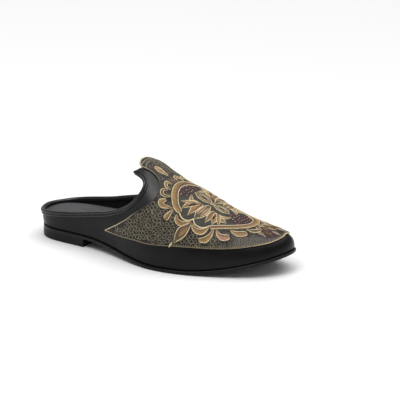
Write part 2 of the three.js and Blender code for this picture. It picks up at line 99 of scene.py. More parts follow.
AROUND = 2 * TOE_STATION

Ridge = namedtuple("Ridge", "at height side")
RIDGE = (
    Ridge(0.067, 1.077, 0.0),
    Ridge(0.336, 1.031, -2.9),
    Ridge(0.426, 1.008, -6.4),
    Ridge(0.477, 0.986, -9.3),
    Ridge(0.554, 0.851, -10.2),
    Ridge(0.638, 0.740, -8.6),
    Ridge(0.721, 0.613, -5.1),
    Ridge(0.805, 0.511, -0.7),
    Ridge(0.879, 0.456, 3.9),
    Ridge(0.953, 0.416, 8.5),
)

# Edges drawn on the last, as station and rise. The rise is 0 at the sole and 1 at the ridge.
COLLAR = (
    (0.00, 0.117), (0.98, 0.111), (1.62, 0.121), (2.18, 0.138), (2.90, 0.171), (3.49, 0.219),
    (3.80, 0.249), (4.06, 0.286), (4.31, 0.327), (4.58, 0.392), (4.76, 0.470), (4.87, 0.564),
    (4.88, 0.648), (4.80, 0.689), (4.68, 0.706), (4.44, 0.722),
)
THROAT_START = 7
BACK_EDGE = (
    (3.83, 0.117), (4.04, 0.162), (4.25, 0.206), (4.60, 0.287), (4.90, 0.387), (5.14, 0.497),
    (5.26, 0.601), (5.28, 0.698), (5.22, 0.770), (5.12, 0.820), (4.95, 0.838), (4.77, 0.830),
    (4.59, 0.819),
)
FACING_START = 2
PANEL_BEND = 7
LOBE_EDGE = ((4.59, 0.819), (4.49, 0.857), (4.43, 0.917), (4.41, 0.970), (4.42, 1.0))
LOWER_EDGE = (
    (3.83, 0.117), (4.36, 0.127), (5.00, 0.154), (5.47, 0.180), (5.92, 0.212), (6.54, 0.268),
    (7.00, 0.303), (7.51, 0.337), (7.86, 0.363), (8.25, 0.407), (8.55, 0.447), (8.87, 0.500),
    (9.19, 0.588), (9.59, 0.708), (9.84, 0.772), (10.0, 0.790),
)
HEEL_BOTTOM = (0.0, 0.0)
FEATHER_CORNER = (3.66, 0.0)
TOE_BOTTOM = (10.0, 0.0)
RIDGE_BEND = (5.35, 1.0)
RIDGE_END = (10.0, 1.0)

# Millimetres that one station and one unit of rise are worth, for even spacing along an edge
EDGE_SCALE = np.array([30.0, 110.0])
BESIDE_RIDGE = 0.97

# Soft creases of the leather. Each runs from start to end on one side of the shoe, and depth is
# negative for a trough and positive for the ridge beside it, in millimetres like the width.
Crease = namedtuple("Crease", "side start end depth width")
CREASES = (
    Crease("lateral", (5.55, 0.10), (6.15, 0.52), -0.55, 5.0),
    Crease("lateral", (5.90, 0.10), (6.45, 0.50), 0.35, 5.0),
    Crease("lateral", (6.30, 0.16), (6.85, 0.46), -0.45, 4.5),
    Crease("lateral", (3.30, 0.05), (4.10, 0.15), -0.45, 6.0),
    Crease("lateral", (4.45, 0.19), (4.95, 0.36), 0.30, 5.0),
    Crease("medial", (5.60, 0.12), (6.10, 0.50), -0.50, 5.0),
    Crease("medial", (6.00, 0.12), (6.45, 0.48), 0.30, 5.0),
    Crease("medial", (3.10, 0.05), (4.00, 0.14), -0.40, 6.0),
)

# Profile of the binding. out is along the outside of the wall and up is past its cut edge.
BINDING_PROFILE = (
    (0.35, -3.60), (0.80, -3.55), (1.10, -3.20), (1.20, -2.60), (1.05, -2.00), (0.62, -1.62),
    (0.42, -1.35), (0.66, -1.10), (1.30, -0.80), (1.66, -0.10), (1.58, 0.70), (1.05, 1.42),
    (0.20, 1.86), (-0.90, 2.00), (-2.00, 1.86), (-2.90, 1.30), (-3.42, 0.40), (-3.50, -0.70),
    (-3.35, -2.00), (-3.15, -2.80), (-2.45, -2.80), (-2.40, 0.40), (0.40, 0.40),
)
GROOVE = (0.74, -1.36)

# The outsole's edge, from its underside to its top, as inset and height
SOLE_PROFILE = (
    (1.30, 0.00), (0.60, 0.12), (0.15, 0.50), (0.00, 1.10), (0.00, 2.70), (0.15, 3.30),
    (0.60, 3.80), (1.30, 4.00),
)
HEEL_PROFILE = ((0.80, 0.00), (0.25, 0.18), (0.00, 0.75), (0.00, 5.0), (0.00, 9.0), (0.40, 9.15))

# The floral ornament, drawn flat on the panel. Each leaf has a spine of points, x along the shoe
# and d away from the ornament's axis, and a half width at each point, all in millimetres. A pair
# is drawn on both sides of the axis, an arch runs on across it, and a single is drawn once.
Leaf = namedtuple("Leaf", "kind rim fill layer spine halves")
LEAVES = (
    Leaf("single", "cream", "tan", 1, ((147.3, 0.9), (150.5, 0.3), (154.5, -0.6), (159.8, -1.8)),
         (1.9, 3.3, 3.0, 1.1)),
    Leaf("single", "cream", "pink", 3, ((148.6, 1.2), (152.6, 0.0), (158.2, -1.4)), (0.5, 1.5, 0.5)),
    Leaf("pair", "cream", "tan", 1, ((172.4, 13.6), (168.0, 13.4), (165.0, 10.4), (165.4, 7.0),
         (169.4, 5.4)), (0.5, 1.5, 2.0, 1.7, 0.5)),
    Leaf("pair", "taupe", "pink", 2, ((171.2, 4.4), (167.8, 5.0), (163.8, 6.0)), (0.3, 0.65, 0.3)),
    Leaf("pair", "taupe", "pink", 2, ((170.6, 1.5), (167.0, 1.8), (163.0, 2.2)), (0.3, 0.65, 0.3)),
    Leaf("pair", "olive", "olive", 1, ((171.4, 19.6), (173.6, 20.6)), (1.3, 1.0)),
    Leaf("single", "taupe", "taupe", 1, ((131.2, -6.0), (133.6, -10.6), (138.0, -13.4), (144.0, -12.6),
         (150.0, -13.3), (155.0, -14.5), (161.0, -15.8)), (0.3, 0.4, 0.45, 0.45, 0.45, 0.45, 0.3)),
    Leaf("arch", "cream", "tan", 2, ((190.2, 32.0), (186.3, 29.0), (181.3, 21.4), (177.3, 12.7),
         (175.4, 5.4), (175.0, 0.0)), (3.3, 3.5, 3.6, 3.6, 3.6, 3.6)),
    Leaf("pair", "cream", "olive", 1, ((176.6, 21.0), (171.6, 23.6), (167.2, 23.0), (166.2, 19.2),
         (169.2, 16.0)), (0.8, 1.6, 2.0, 1.8, 1.1)),
    Leaf("pair", "cream", "tan", 1, ((183.3, 32.6), (177.6, 34.3), (172.2, 34.6), (170.3, 31.6),
         (173.0, 28.2)), (0.6, 1.9, 3.0, 3.2, 2.0)),
    Leaf("pair", "cream", "tan", 1, ((184.6, 34.6), (182.8, 39.8), (181.1, 44.4)), (0.9, 2.2, 3.1)),
    Leaf("arch", "cream", "tan", 2, ((226.0, 30.4), (234.0, 24.4), (243.0, 18.6), (251.4, 11.6),
         (255.3, 5.6), (256.3, 0.0)), (2.3, 2.4, 2.7, 3.1, 3.4, 3.5)),
    Leaf("pair", "cream", "cream", 2, ((190.8, 31.6), (193.2, 35.6), (196.6, 38.2), (200.6, 38.4),
         (204.2, 36.4), (206.9, 32.6)), (0.6, 0.7, 0.8, 0.8, 0.7, 0.5)),
    Leaf("pair", "cream", "cream", 2, ((206.9, 32.6), (208.6, 35.8), (212.0, 37.3), (216.2, 36.9),
         (220.2, 34.4), (223.4, 30.0)), (0.5, 0.7, 0.8, 0.8, 0.7, 0.6)),
    Leaf("pair", "cream", "tan", 1, ((190.6, 38.0), (191.7, 41.8), (194.6, 43.9), (198.6, 43.5),
         (202.6, 40.6), (205.4, 37.0)), (0.9, 2.4, 3.1, 2.8, 1.9, 0.6)),
    Leaf("pair", "cream", "tan", 1, ((208.2, 38.2), (210.5, 41.4), (214.6, 42.2), (218.6, 40.3),
         (221.3, 36.2), (223.0, 32.2)), (0.8, 2.4, 3.1, 3.0, 2.1, 0.7)),
    Leaf("pair", "cream", "olive", 3, ((206.3, 38.4), (203.5, 45.2), (200.4, 51.6), (197.6, 58.2),
         (194.8, 65.4)), (0.9, 3.5, 4.9, 3.6, 0.5)),
    Leaf("pair", "tan", "tan", 4, ((204.9, 43.0), (201.6, 50.0), (198.2, 58.0)), (0.4, 2.5, 0.4)),
    Leaf("pair", "cream", "cream", 1, ((192.6, 66.2), (191.2, 69.0), (189.8, 72.0)), (0.5, 0.9, 0.5)),
    Leaf("single", "cream", "olive", 2, ((210.3, 0.4), (206.6, -0.2), (201.6, -0.8), (196.6, -1.2),
         (192.2, -1.4)), (1.0, 4.6, 6.0, 5.0, 1.2)),
    Leaf("single", "cream", "olive", 3, ((208.6, 0.2), (204.6, -0.3), (200.2, -0.8), (194.6, -1.3)),
         (0.5, 2.5, 3.4, 0.5)),
    Leaf("single", "brown", "brown", 5, ((206.6, 0.0), (201.6, -0.7), (197.0, -1.1)), (0.3, 0.9, 0.3)),
    Leaf("single", "cream", "olive", 2, ((212.8, 0.4), (216.4, -0.2), (220.8, -0.6), (225.4, -0.4),
         (229.2, 0.0)), (1.0, 4.4, 5.5, 4.4, 1.0)),
    Leaf("single", "cream", "olive", 3, ((214.6, 0.2), (218.0, -0.3), (222.0, -0.5), (226.8, -0.3)),
         (0.5, 2.4, 3.1, 0.5)),
    Leaf("single", "brown", "brown", 5, ((216.0, 0.0), (220.4, -0.5), (224.6, -0.4)), (0.3, 0.8, 0.3)),
    Leaf("pair", "cream", "olive", 2, ((211.6, 5.6), (211.2, 12.6), (210.6, 19.2), (209.2, 25.4),
         (207.4, 32.2)), (1.0, 4.2, 5.3, 4.2, 0.4)),
    Leaf("pair", "cream", "pink", 3, ((210.2, 9.0), (208.7, 15.0), (207.9, 20.8), (207.6, 26.4)),
         (0.4, 1.6, 1.8, 0.4)),
    Leaf("pair", "cream", "pink", 3, ((212.4, 9.0), (213.1, 15.0), (212.7, 20.6), (210.8, 26.4)),
         (0.4, 1.5, 1.7, 0.4)),
    Leaf("single", "cream", "tan", 4, ((210.2, 0.2), (211.6, 0.0), (213.0, -0.2)), (1.6, 1.9, 1.6)),
    Leaf("pair", "cream", "tan", 1, ((203.8, 13.6), (202.4, 21.6), (200.3, 32.4)), (3.8, 3.5, 0.3)),
    Leaf("pair", "cream", "tan", 1, ((200.2, 14.0), (196.2, 20.4), (192.2, 28.4)), (3.8, 3.4, 0.3)),
    Leaf("pair", "cream", "tan", 1, ((199.6, 15.4), (194.8, 12.6), (191.6, 5.2)), (2.8, 2.3, 0.3)),
    Leaf("pair", "cream", "tan", 2, ((200.6, 14.6), (194.8, 17.6), (187.6, 20.6)), (3.0, 2.4, 0.3)),
    Leaf("pair", "brown", "brown", 4, ((203.2, 14.4), (199.4, 18.0), (196.4, 22.4)), (0.4, 1.3, 0.3)),
    Leaf("pair", "cream", "tan", 1, ((219.4, 13.4), (218.8, 20.8), (217.8, 29.4)), (3.4, 2.9, 0.3)),
    Leaf("pair", "cream", "tan", 1, ((223.4, 13.4), (224.0, 20.0), (224.4, 28.0)), (3.6, 3.0, 0.3)),
    Leaf("pair", "cream", "tan", 1, ((226.8, 14.2), (231.0, 16.8), (235.4, 17.6)), (3.2, 2.5, 0.3)),
    Leaf("pair", "cream", "tan", 2, ((225.0, 14.4), (228.0, 19.8), (230.4, 24.6)), (2.8, 2.2, 0.3)),
    Leaf("pair", "brown", "brown", 4, ((221.8, 13.6), (222.2, 17.8), (222.0, 22.4)), (0.4, 1.2, 0.3)),
    Leaf("pair", "cream", "tan", 1, ((227.0, 13.0), (231.8, 9.8), (234.6, 4.6)), (2.6, 1.8, 0.3)),
    Leaf("pair", "cream", "tan", 1, ((228.2, 32.6), (227.6, 39.4), (224.6, 45.6), (220.2, 48.8)),
         (0.9, 2.2, 3.0, 2.4)),
    Leaf("pair", "cream", "pink", 1, ((231.4, 31.2), (234.8, 34.6), (239.4, 35.6), (242.8, 33.8)),
         (0.8, 2.6, 3.7, 3.4)),
    Leaf("pair", "cream", "tan", 1, ((243.2, 24.0), (247.5, 25.2), (252.0, 24.8), (255.6, 22.4)),
         (0.8, 2.5, 3.7, 3.4)),
    Leaf("pair", "cream", "olive", 1, ((254.6, 13.6), (258.4, 15.0), (262.0, 14.2), (264.8, 11.8)),
         (0.7, 1.8, 2.9, 2.7)),
    Leaf("single", "cream", "rose", 1, ((260.4, 0.0), (263.6, 0.0), (267.6, 0.0)), (0.9, 2.2, 0.3)),
    Leaf("pair", "cream", "brown", 1, ((260.6, 5.4), (264.0, 7.4), (267.6, 9.8)), (0.7, 1.9, 0.3)),
    Leaf("pair", "tan", "rose", 1, ((266.0, 3.2), (269.6, 4.4), (273.6, 6.2)), (0.5, 1.6, 0.3)),
    Leaf("single", "cream", "brown", 1, ((270.4, 0.0), (273.8, 0.0), (278.0, 0.0)), (0.6, 1.7, 0.3)),
    Leaf("pair", "cream", "olive", 1, ((265.4, 13.6), (268.8, 14.8), (272.8, 17.0)), (0.6, 1.6, 0.3)),
    Leaf("pair", "tan", "brown", 1, ((270.6, 9.6), (274.0, 11.0), (277.6, 13.2)), (0.5, 1.4, 0.3)),
    Leaf("pair", "cream", "rose", 1, ((276.0, 5.0), (279.0, 6.2), (282.2, 8.0)), (0.4, 1.3, 0.3)),
    Leaf("arch", "taupe", "taupe", 1, ((136.6, 11.6), (134.0, 9.2), (132.0, 5.4), (131.4, 0.0)),
         (0.3, 0.6, 0.7, 0.7)),
    Leaf("arch", "taupe", "taupe", 1, ((141.0, 9.4), (139.0, 7.4), (137.4, 4.0), (136.9, 0.0)),
         (0.3, 0.6, 0.6, 0.6)),
)

# How far the ornament's axis lies from the ridge along the shoe: x, and the medial distance
AXIS = ((140.0, -5.8), (155.0, -5.4), (175.0, -4.1), (205.0, -1.8), (250.0, -1.5), (285.0, -1.0))

# Grounds of the panel, as closed outlines in the ornament's own x and d
FIELD = (
    (178.4, 0.0), (178.8, 5.4), (180.6, 12.0), (184.4, 19.8), (188.8, 26.6), (191.6, 31.0),
    (193.2, 35.6), (196.6, 38.2), (200.6, 38.4), (204.2, 36.4), (206.9, 32.6), (208.6, 35.8),
    (212.0, 37.3), (216.2, 36.9), (220.2, 34.4), (223.4, 30.0), (232.8, 22.2), (241.6, 16.4),
    (249.2, 10.0), (252.0, 5.0), (252.8, 0.0), (252.8, -2.0), (178.4, -2.0),
)
BACK_DOTS = ((178.0, -2.0), (178.6, 8.0), (181.0, 14.6), (187.0, 15.0), (190.6, 9.0), (191.0, -2.0))
FRONT_DOTS = (
    (229.0, -2.0), (229.4, 5.0), (232.0, 9.6), (238.0, 12.0), (243.0, 14.6), (249.4, 9.8),
    (252.4, 4.0), (252.8, -2.0),
)
TOE_SPRIG = (
    (259.0, -2.0), (259.0, 8.0), (262.0, 14.0), (268.0, 19.0), (275.0, 18.0), (280.0, 12.0),
    (283.0, 6.0), (284.0, -2.0),
)
TOE_HATCH = (
    (250.0, 31.0), (258.0, 26.0), (266.0, 20.0), (274.0, 17.0), (284.0, 8.0), (292.0, 0.0),
    (292.0, 70.0), (258.0, 60.0), (250.0, 42.0),
)
NECK = ((128.0, -2.0), (128.0, 20.0), (150.0, 26.0), (172.0, 20.0), (170.0, 12.0), (169.0, -2.0))

# How finely the surfaces are cut
UPPER_CUTS = {
    "heel": 84, "facing": 12, "lobe": 16, "vamp": 84, "band": 12, "corner": 14, "throat": 26, "end": 14,
}
PANEL_CUTS = {
    "heel": 4, "facing": 4, "lobe": 30, "vamp": 168, "band": 4, "corner": 26, "throat": 44, "end": 28,
}
EDGE_SAMPLES = 1200
HALVINGS = 34


# Colour given as it looks on a screen, 0 to 255, made linear
def shade(red, green, blue):
    return tuple(((value / 255 + 0.055) / 1.055) ** 2.4 for value in (red, green, blue))


def length_property(name, description, millimetres):
    return bpy.props.FloatProperty(
        name=name, description=description, default=millimetres * MM, min=0.0, precision=5,
        unit="LENGTH", subtype="DISTANCE",
    )


def colour_property(name, description, red, green, blue):
    return bpy.props.FloatVectorProperty(
        name=name, description=description, default=shade(red, green, blue), size=3,
        min=0.0, max=1.0, subtype="COLOR",
    )


class MuleSizes(bpy.types.PropertyGroup):
    """Sizes of the finished surfaces"""

    wall: length_property("Wall", "Thickness of the upper's leather and lining", 2.0)
    panel: length_property("Panel", "Thickness of the patterned panel", 1.2)
    rim: length_property("Leaf rim", "Width of the pale outline round each leaf", 0.9)
    relief: length_property("Leaf relief", "Height of the leaves above the panel", 0.55)
    edge_bead: length_property("Raw edge", "Width of the raw edge of the panel", 0.9)
    scroll_spacing: length_property("Scroll spacing", "Distance between the ground scrolls", 4.6)
    scroll_radius: length_property("Scroll radius", "Outer radius of a ground scroll", 2.35)
    scroll_line: length_property("Scroll line", "Half the width of a ground scroll's line", 0.24)
    dot_spacing: length_property("Dot spacing", "Distance between the pale dots", 4.6)
    dot_radius: length_property("Dot radius", "Radius of a pale dot", 0.75)
    stitch_length: length_property("Stitch length", "Length of a binding stitch", 2.1)
    stitch_spacing: length_property("Stitch spacing", "Distance between binding stitches", 2.9)
    stitch_width: length_property("Stitch width", "Thickness of the thread", 0.55)
    overcast_spacing: length_property("Overcast spacing", "Distance between the edge stitches", 1.9)


class MuleColours(bpy.types.PropertyGroup):
    """Colours of the leathers, the thread and the ornament"""

    upper: colour_property("Upper", "Smooth black leather", 7, 7, 8)
    # Lighter than the upper as a painted highlight on the facing, which also has a satin coat
    facing: colour_property("Facing", "Satin leather between the binding and the panel", 26, 25, 28)
    binding: colour_property("Binding", "Folded black leather strip", 13, 13, 14)
    lining: colour_property("Lining", "Inside of the upper", 17, 17, 18)
    insole: colour_property("Insole", "Soft leather of the insole", 66, 66, 69)
    sole: colour_property("Sole", "Dressed edge of the outsole", 11, 11, 12)
    heel: colour_property("Heel", "Rubber of the heel block", 16, 16, 17)
    ground: colour_property("Ground", "Charcoal ground of the panel", 36, 34, 31)
    ground_light: colour_property("Light ground", "Worn olive part of the ground", 64, 59, 51)
    slate: colour_property("Slate", "Ground inside the medallion", 62, 61, 57)
    brown: colour_property("Brown", "Ground under the dots", 60, 43, 46)
    neck: colour_property("Neck", "Grey ground of the lobe", 62, 58, 54)
    hatch: colour_property("Hatch", "Grey hatched ground at the toe", 92, 88, 83)
    cream: colour_property("Cream", "Outlines and raw edges", 218, 200, 160)
    tan: colour_property("Tan", "Filling of the leaves", 152, 120, 76)
    pink: colour_property("Pink", "Rosy filling", 166, 122, 98)
    olive: colour_property("Olive", "Dull gold filling", 96, 85, 60)
    rose: colour_property("Rose", "Red brown filling of the sprig", 108, 78, 62)
    shadow: colour_property("Shadow", "Plum shading on the inner side of the leaves", 78, 54, 56)
    taupe: colour_property("Taupe", "Lines of the ground scrolls", 142, 134, 116)
    dots: colour_property("Dots", "Pale dots", 172, 142, 126)
    thread: colour_property("Thread", "Dark stitching", 44, 44, 47)
    overcast: colour_property("Overcast", "Pale stitching along the lower edge", 150, 138, 100)


# Shape of the last


def natural_spline(x, y):
    """A natural cubic spline through the points, straight past its ends."""
    x = np.asarray(x, float)
    y = np.asarray(y, float)
    last = len(x) - 1
    spans = np.diff(x)
    slopes = np.diff(y) / spans
    system = np.eye(last + 1)
    turns = np.zeros(last + 1)
    for i in range(1, last):
        system[i, i - 1:i + 2] = (spans[i - 1], 2 * (spans[i - 1] + spans[i]), spans[i])
        turns[i] = 6 * (slopes[i] - slopes[i - 1])
    bend = np.linalg.solve(system, turns)
    first_slope = slopes[0] - spans[0] * (2 * bend[0] + bend[1]) / 6
    last_slope = slopes[-1] + spans[-1] * (2 * bend[-1] + bend[-2]) / 6

    def value_at(where):
        where = np.asarray(where, float)
        inside = np.clip(where, x[0], x[-1])
        i = np.clip(np.searchsorted(x, inside) - 1, 0, last - 1)
        a = (x[i + 1] - inside) / spans[i]
        b = (inside - x[i]) / spans[i]
        curve = a * y[i] + b * y[i + 1]
        curve += ((a**3 - a) * bend[i] + (b**3 - b) * bend[i + 1]) * spans[i] ** 2 / 6
        curve += first_slope * np.minimum(0, where - x[0])
        return curve + last_slope * np.maximum(0, where - x[-1])

    return value_at


def column(rows, name):
    return [getattr(row, name) for row in rows]


STATIONS = range(len(SECTIONS))
fullness_at = natural_spline(STATIONS, column(SECTIONS, "fullness"))
inset_at = natural_spline(STATIONS, column(SECTIONS, "inset"))
lateral_flare_at = natural_spline(STATIONS, column(SECTIONS, "flare_out"))
medial_flare_at = natural_spline(STATIONS, column(SECTIONS, "flare_in"))
ridge_height = natural_spline(column(RIDGE, "at"), column(RIDGE, "height"))
ridge_side = natural_spline(column(RIDGE, "at"), column(RIDGE, "side"))


def station_of(place):
    """Places run from 0 at the heel along the lateral side to the toe, and back to 20."""
    place = np.mod(place, AROUND)
    return np.minimum(place, AROUND - place)


def outline_controls():
    lateral = [(row.at * LENGTH, -row.lateral * BALL_WIDTH) for row in SECTIONS]
    medial = [(row.at * LENGTH, row.medial * BALL_WIDTH) for row in SECTIONS[TOE_STATION - 1:0:-1]]
    return np.array(lateral + medial)


OUTLINE_CONTROLS = outline_controls()


def outline_point(place):
    """The sole's outline: a closed cubic spline pulled by the table's rows."""
    place = np.mod(np.asarray(place, float), AROUND)
    index = np.floor(place).astype(int)
    t = place - index
    weights = ((1 - t) ** 3, 3 * t**3 - 6 * t**2 + 4, -3 * t**3 + 3 * t**2 + 3 * t + 1, t**3)
    point = 0
    for k, weight in enumerate(weights):
        point = point + weight[..., None] * OUTLINE_CONTROLS[(index + k - 1) % AROUND] / 6
    return point


def unit(vectors):
    return vectors / np.linalg.norm(vectors, axis=-1, keepdims=True)


def outline_normal(place):
    step = 0.001
    along = unit(outline_point(place + step) - outline_point(place - step))
    return np.stack([along[..., 1], -along[..., 0]], -1)


def smoothstep(value, start, end):
    share = np.clip((value - start) / (end - start), 0, 1)
    return share * share * (3 - 2 * share)


def sole_underside(x):
    """Up on the heel, flat at the ball and rising to the toe."""
    front = np.maximum(0, (x - BALL_FRONT) / (LENGTH - BALL_FRONT))
    return HEEL_HEIGHT * smoothstep(-x, -BALL_BACK, -HEEL_LENGTH) + TOE_SPRING * front**TOE_CURVE


def ridge_foot(x):
    heel_lean = HEEL_LEAN_LENGTH * np.maximum(0, 1 - x / HEEL_LEAN_REACH) ** 2
    toe_lean = TOE_LEAN_LENGTH * np.maximum(0, 1 - (LENGTH - x) / TOE_LEAN_REACH) ** 2
    return x + heel_lean - toe_lean


def last_point(place, rise):
    """A point on the outside of the last."""
    place, rise = np.broadcast_arrays(np.asarray(place, float), np.asarray(rise, float))
    edge = outline_point(place)
    outward = outline_normal(place)
    station = station_of(place)
    foot = edge - inset_at(station)[..., None] * outward
    at = ridge_foot(edge[..., 0]) / LENGTH
    angle = rise * math.pi / 2
    full = fullness_at(station)
    across = np.maximum(0, np.cos(angle))
    rounded = (across**2 + CREST_ROUNDING**2) / (1 + CREST_ROUNDING**2)
    inward = 1 - across * rounded ** ((full - 1) / 2)
    upward = np.sin(angle) ** np.sqrt(full)
    on_lateral = np.mod(place, AROUND) <= TOE_STATION
    flare = np.where(on_lateral, lateral_flare_at(station), medial_flare_at(station))
    flare = flare * np.sin(math.pi * rise)
    x = foot[..., 0] + (at * LENGTH - foot[..., 0]) * inward
    y = foot[..., 1] + (ridge_side(at) - foot[..., 1]) * inward
    bottom = sole_underside(foot[..., 0]) + SOLE_THICKNESS + PIECE_GAP
    top = ridge_height(x / LENGTH) * INSTEP_HEIGHT
    z = bottom + (top - bottom) * upward
    return np.stack([x + outward[..., 0] * flare, y + outward[..., 1] * flare, z], -1)


def side_normal(place, rise):
    step = 0.002
    middle = np.clip(rise, step, BESIDE_RIDGE)
    along = last_point(place + step, middle) - last_point(place - step, middle)
    up = last_point(place, middle + step) - last_point(place, middle - step)
    return unit(np.cross(along, up))


def last_normal(place, rise):
    """The outward direction, evened out between the two sides towards the ridge."""
    place, rise = np.broadcast_arrays(np.asarray(place, float), np.asarray(rise, float))
    own = side_normal(place, rise)
    near = rise > BESIDE_RIDGE
    if near.any():
        other = side_normal(AROUND - place[near], rise[near])
        share = (rise[near] - BESIDE_RIDGE)[:, None] / (1 - BESIDE_RIDGE)
        own[near] = unit(own[near] * (2 - share) + other * share)
    return own


def from_segment(spot, start, end):
    """The share along a segment that is nearest to each spot, and the distance from it."""
    run = end - start
    share = np.clip((spot - start) @ run / (run @ run), 0, 1)
    return share, np.linalg.norm(spot - start - share[..., None] * run, axis=-1)


def crease_height(place, rise):
    """Soft troughs and ridges of the leather, in millimetres along the outward direction."""
    spot = np.stack([station_of(place), rise], -1) * EDGE_SCALE
    on_lateral = np.mod(place, AROUND) <= TOE_STATION
    height = np.zeros(np.shape(rise))
    for crease in CREASES:
        start, end = np.array(crease.start) * EDGE_SCALE, np.array(crease.end) * EDGE_SCALE
        share, away = from_segment(spot, start, end)
        fade = np.sin(np.clip(share, 0.04, 0.96) * math.pi)
        here = on_lateral if crease.side == "lateral" else ~on_lateral
        height += np.where(here, crease.depth * fade * np.exp(-((away / crease.width) ** 2)), 0)
    return height


def leather_point(place, rise, lift):
    """A point at some height over the outside of the upper, creases and all."""
    place, rise = np.broadcast_arrays(np.asarray(place, float), np.asarray(rise, float))
    height = crease_height(place, rise) + lift
    return last_point(place, rise) + last_normal(place, rise) * height[..., None]


# Patches of the upper


def catmull_rom(points, where):
    """A smooth curve through points, where counts along them from 0."""
    points = np.asarray(points, float)
    last = len(points) - 1
    index = np.clip(np.floor(where).astype(int), 0, last - 1)
    t = (where - index)[:, None]
    before, start = points[np.maximum(index - 1, 0)], points[index]
    end, after = points[index + 1], points[np.minimum(index + 2, last)]
    out = (end - before) / 2
    into = (after - start) / 2
    cubic = (2 * start - 2 * end + out + into) * t**3
    return cubic + (-3 * start + 3 * end - 2 * out - into) * t**2 + out * t + start


def running_length(points):
    return np.concatenate([[0], np.cumsum(np.linalg.norm(np.diff(points, axis=0), axis=1))])


def even_cuts(points, first, last, steps):
    """The stretch of a curve between two of its points, cut into even steps."""
    where = np.linspace(first, last, EDGE_SAMPLES)
    curve = catmull_rom(points, where)
    run = running_length(curve)
    return catmull_rom(points, np.interp(np.linspace(0, run[-1], steps + 1), run, where))


def edge_cut(rows, first, last, steps):
    return even_cuts(np.array(rows) * EDGE_SCALE, first, last, steps) / EDGE_SCALE


def line(start, end, steps):
    return edge_cut((start, end), 0, 1, steps)


def joined(*curves):
    return np.concatenate([curves[0]] + [curve[1:] for curve in curves[1:]])


def patch(bottom, top, left, right):
    """A four-sided patch filled in between its edges. Rows run from bottom to top."""
    a = np.linspace(0, 1, len(bottom))[None, :, None]
    b = np.linspace(0, 1, len(left))[:, None, None]
    grid = (1 - b) * bottom[None] + b * top[None] + (1 - a) * left[:, None] + a * right[:, None]
    grid = grid - (1 - a) * ((1 - b) * bottom[0] + b * top[0])
    grid = grid - a * ((1 - b) * bottom[-1] + b * top[-1])
    grid[0], grid[-1] = bottom, top
    grid[1:-1, 0], grid[1:-1, -1] = left[1:-1], right[1:-1]
    return grid


def shoe_patches(cuts):
    """The patches of one side: quarter, facing, toe band, vamp and lobe."""
    collar_side = edge_cut(COLLAR, 0, THROAT_START, cuts["heel"])
    throat = edge_cut(COLLAR, THROAT_START, len(COLLAR) - 1, cuts["throat"] + cuts["lobe"])
    corner = edge_cut(BACK_EDGE, 0, FACING_START, cuts["corner"])
    throat_edge = edge_cut(BACK_EDGE, FACING_START, PANEL_BEND, cuts["throat"])
    notch_edge = edge_cut(BACK_EDGE, PANEL_BEND, len(BACK_EDGE) - 1, cuts["lobe"])
    lobe_edge = edge_cut(LOBE_EDGE, 0, len(LOBE_EDGE) - 1, cuts["end"])
    lower_edge = edge_cut(LOWER_EDGE, 0, len(LOWER_EDGE) - 1, cuts["vamp"])
    band_back = line(FEATHER_CORNER, LOWER_EDGE[0], cuts["band"])
    bend_line = line(BACK_EDGE[PANEL_BEND], RIDGE_BEND, cuts["end"])
    facing_foot = line(COLLAR[THROAT_START], BACK_EDGE[FACING_START], cuts["facing"])
    quarter = patch(
        line(HEEL_BOTTOM, FEATHER_CORNER, cuts["heel"] + cuts["facing"]),
        joined(collar_side, facing_foot),
        line(HEEL_BOTTOM, COLLAR[0], cuts["band"] + cuts["corner"]),
        joined(band_back, corner),
    )
    facing = patch(
        facing_foot,
        line(COLLAR[-1], BACK_EDGE[-1], cuts["facing"]),
        throat,
        joined(throat_edge, notch_edge),
    )
    band = patch(
        line(FEATHER_CORNER, TOE_BOTTOM, cuts["vamp"]),
        lower_edge,
        band_back,
        line(TOE_BOTTOM, LOWER_EDGE[-1], cuts["band"]),
    )
    vamp = patch(
        lower_edge,
        line(RIDGE_BEND, RIDGE_END, cuts["vamp"]),
        joined(corner, throat_edge, bend_line),
        line(LOWER_EDGE[-1], RIDGE_END, cuts["corner"] + cuts["throat"] + cuts["end"]),
    )
    lobe = patch(
        notch_edge[::-1],
        line(LOBE_EDGE[-1], RIDGE_BEND, cuts["lobe"]),
        lobe_edge,
        bend_line,
    )
    return quarter, facing, band, vamp, lobe


def join_sides(patches):
    """Patches from both sides of the shoe as one surface: places, rises and four-sided faces."""
    places, rises, faces = [], [], []
    count = 0
    for side in ("lateral", "medial"):
        for grid in patches:
            rows, columns = grid.shape[:2]
            station = grid[..., 0].ravel()
            index = count + np.arange(rows * columns).reshape(rows, columns)
            quads = np.stack([index[:-1, :-1], index[:-1, 1:], index[1:, 1:], index[1:, :-1]], -1)
            quads = quads.reshape(-1, 4)
            places.append(station if side == "lateral" else AROUND - station)
            rises.append(grid[..., 1].ravel())
            faces.append(quads if side == "lateral" else quads[:, ::-1])
            count += rows * columns
    place, rise = np.concatenate(places), np.concatenate(rises)
    place = np.mod(np.where(rise > 1 - 1e-7, station_of(place), place), AROUND)
    keys = np.round(np.column_stack([place, rise]), 6)
    _, first, inverse = np.unique(keys, axis=0, return_index=True, return_inverse=True)
    return place[first], rise[first], inverse.reshape(-1)[np.concatenate(faces)]


def border_edges(faces, count):
    """Edges that only one face uses, in that face's direction."""
    start = faces.ravel()
    end = np.roll(faces, -1, axis=1).ravel()
    alone = ~np.isin(start * count + end, end * count + start)
    return start[alone], end[alone]


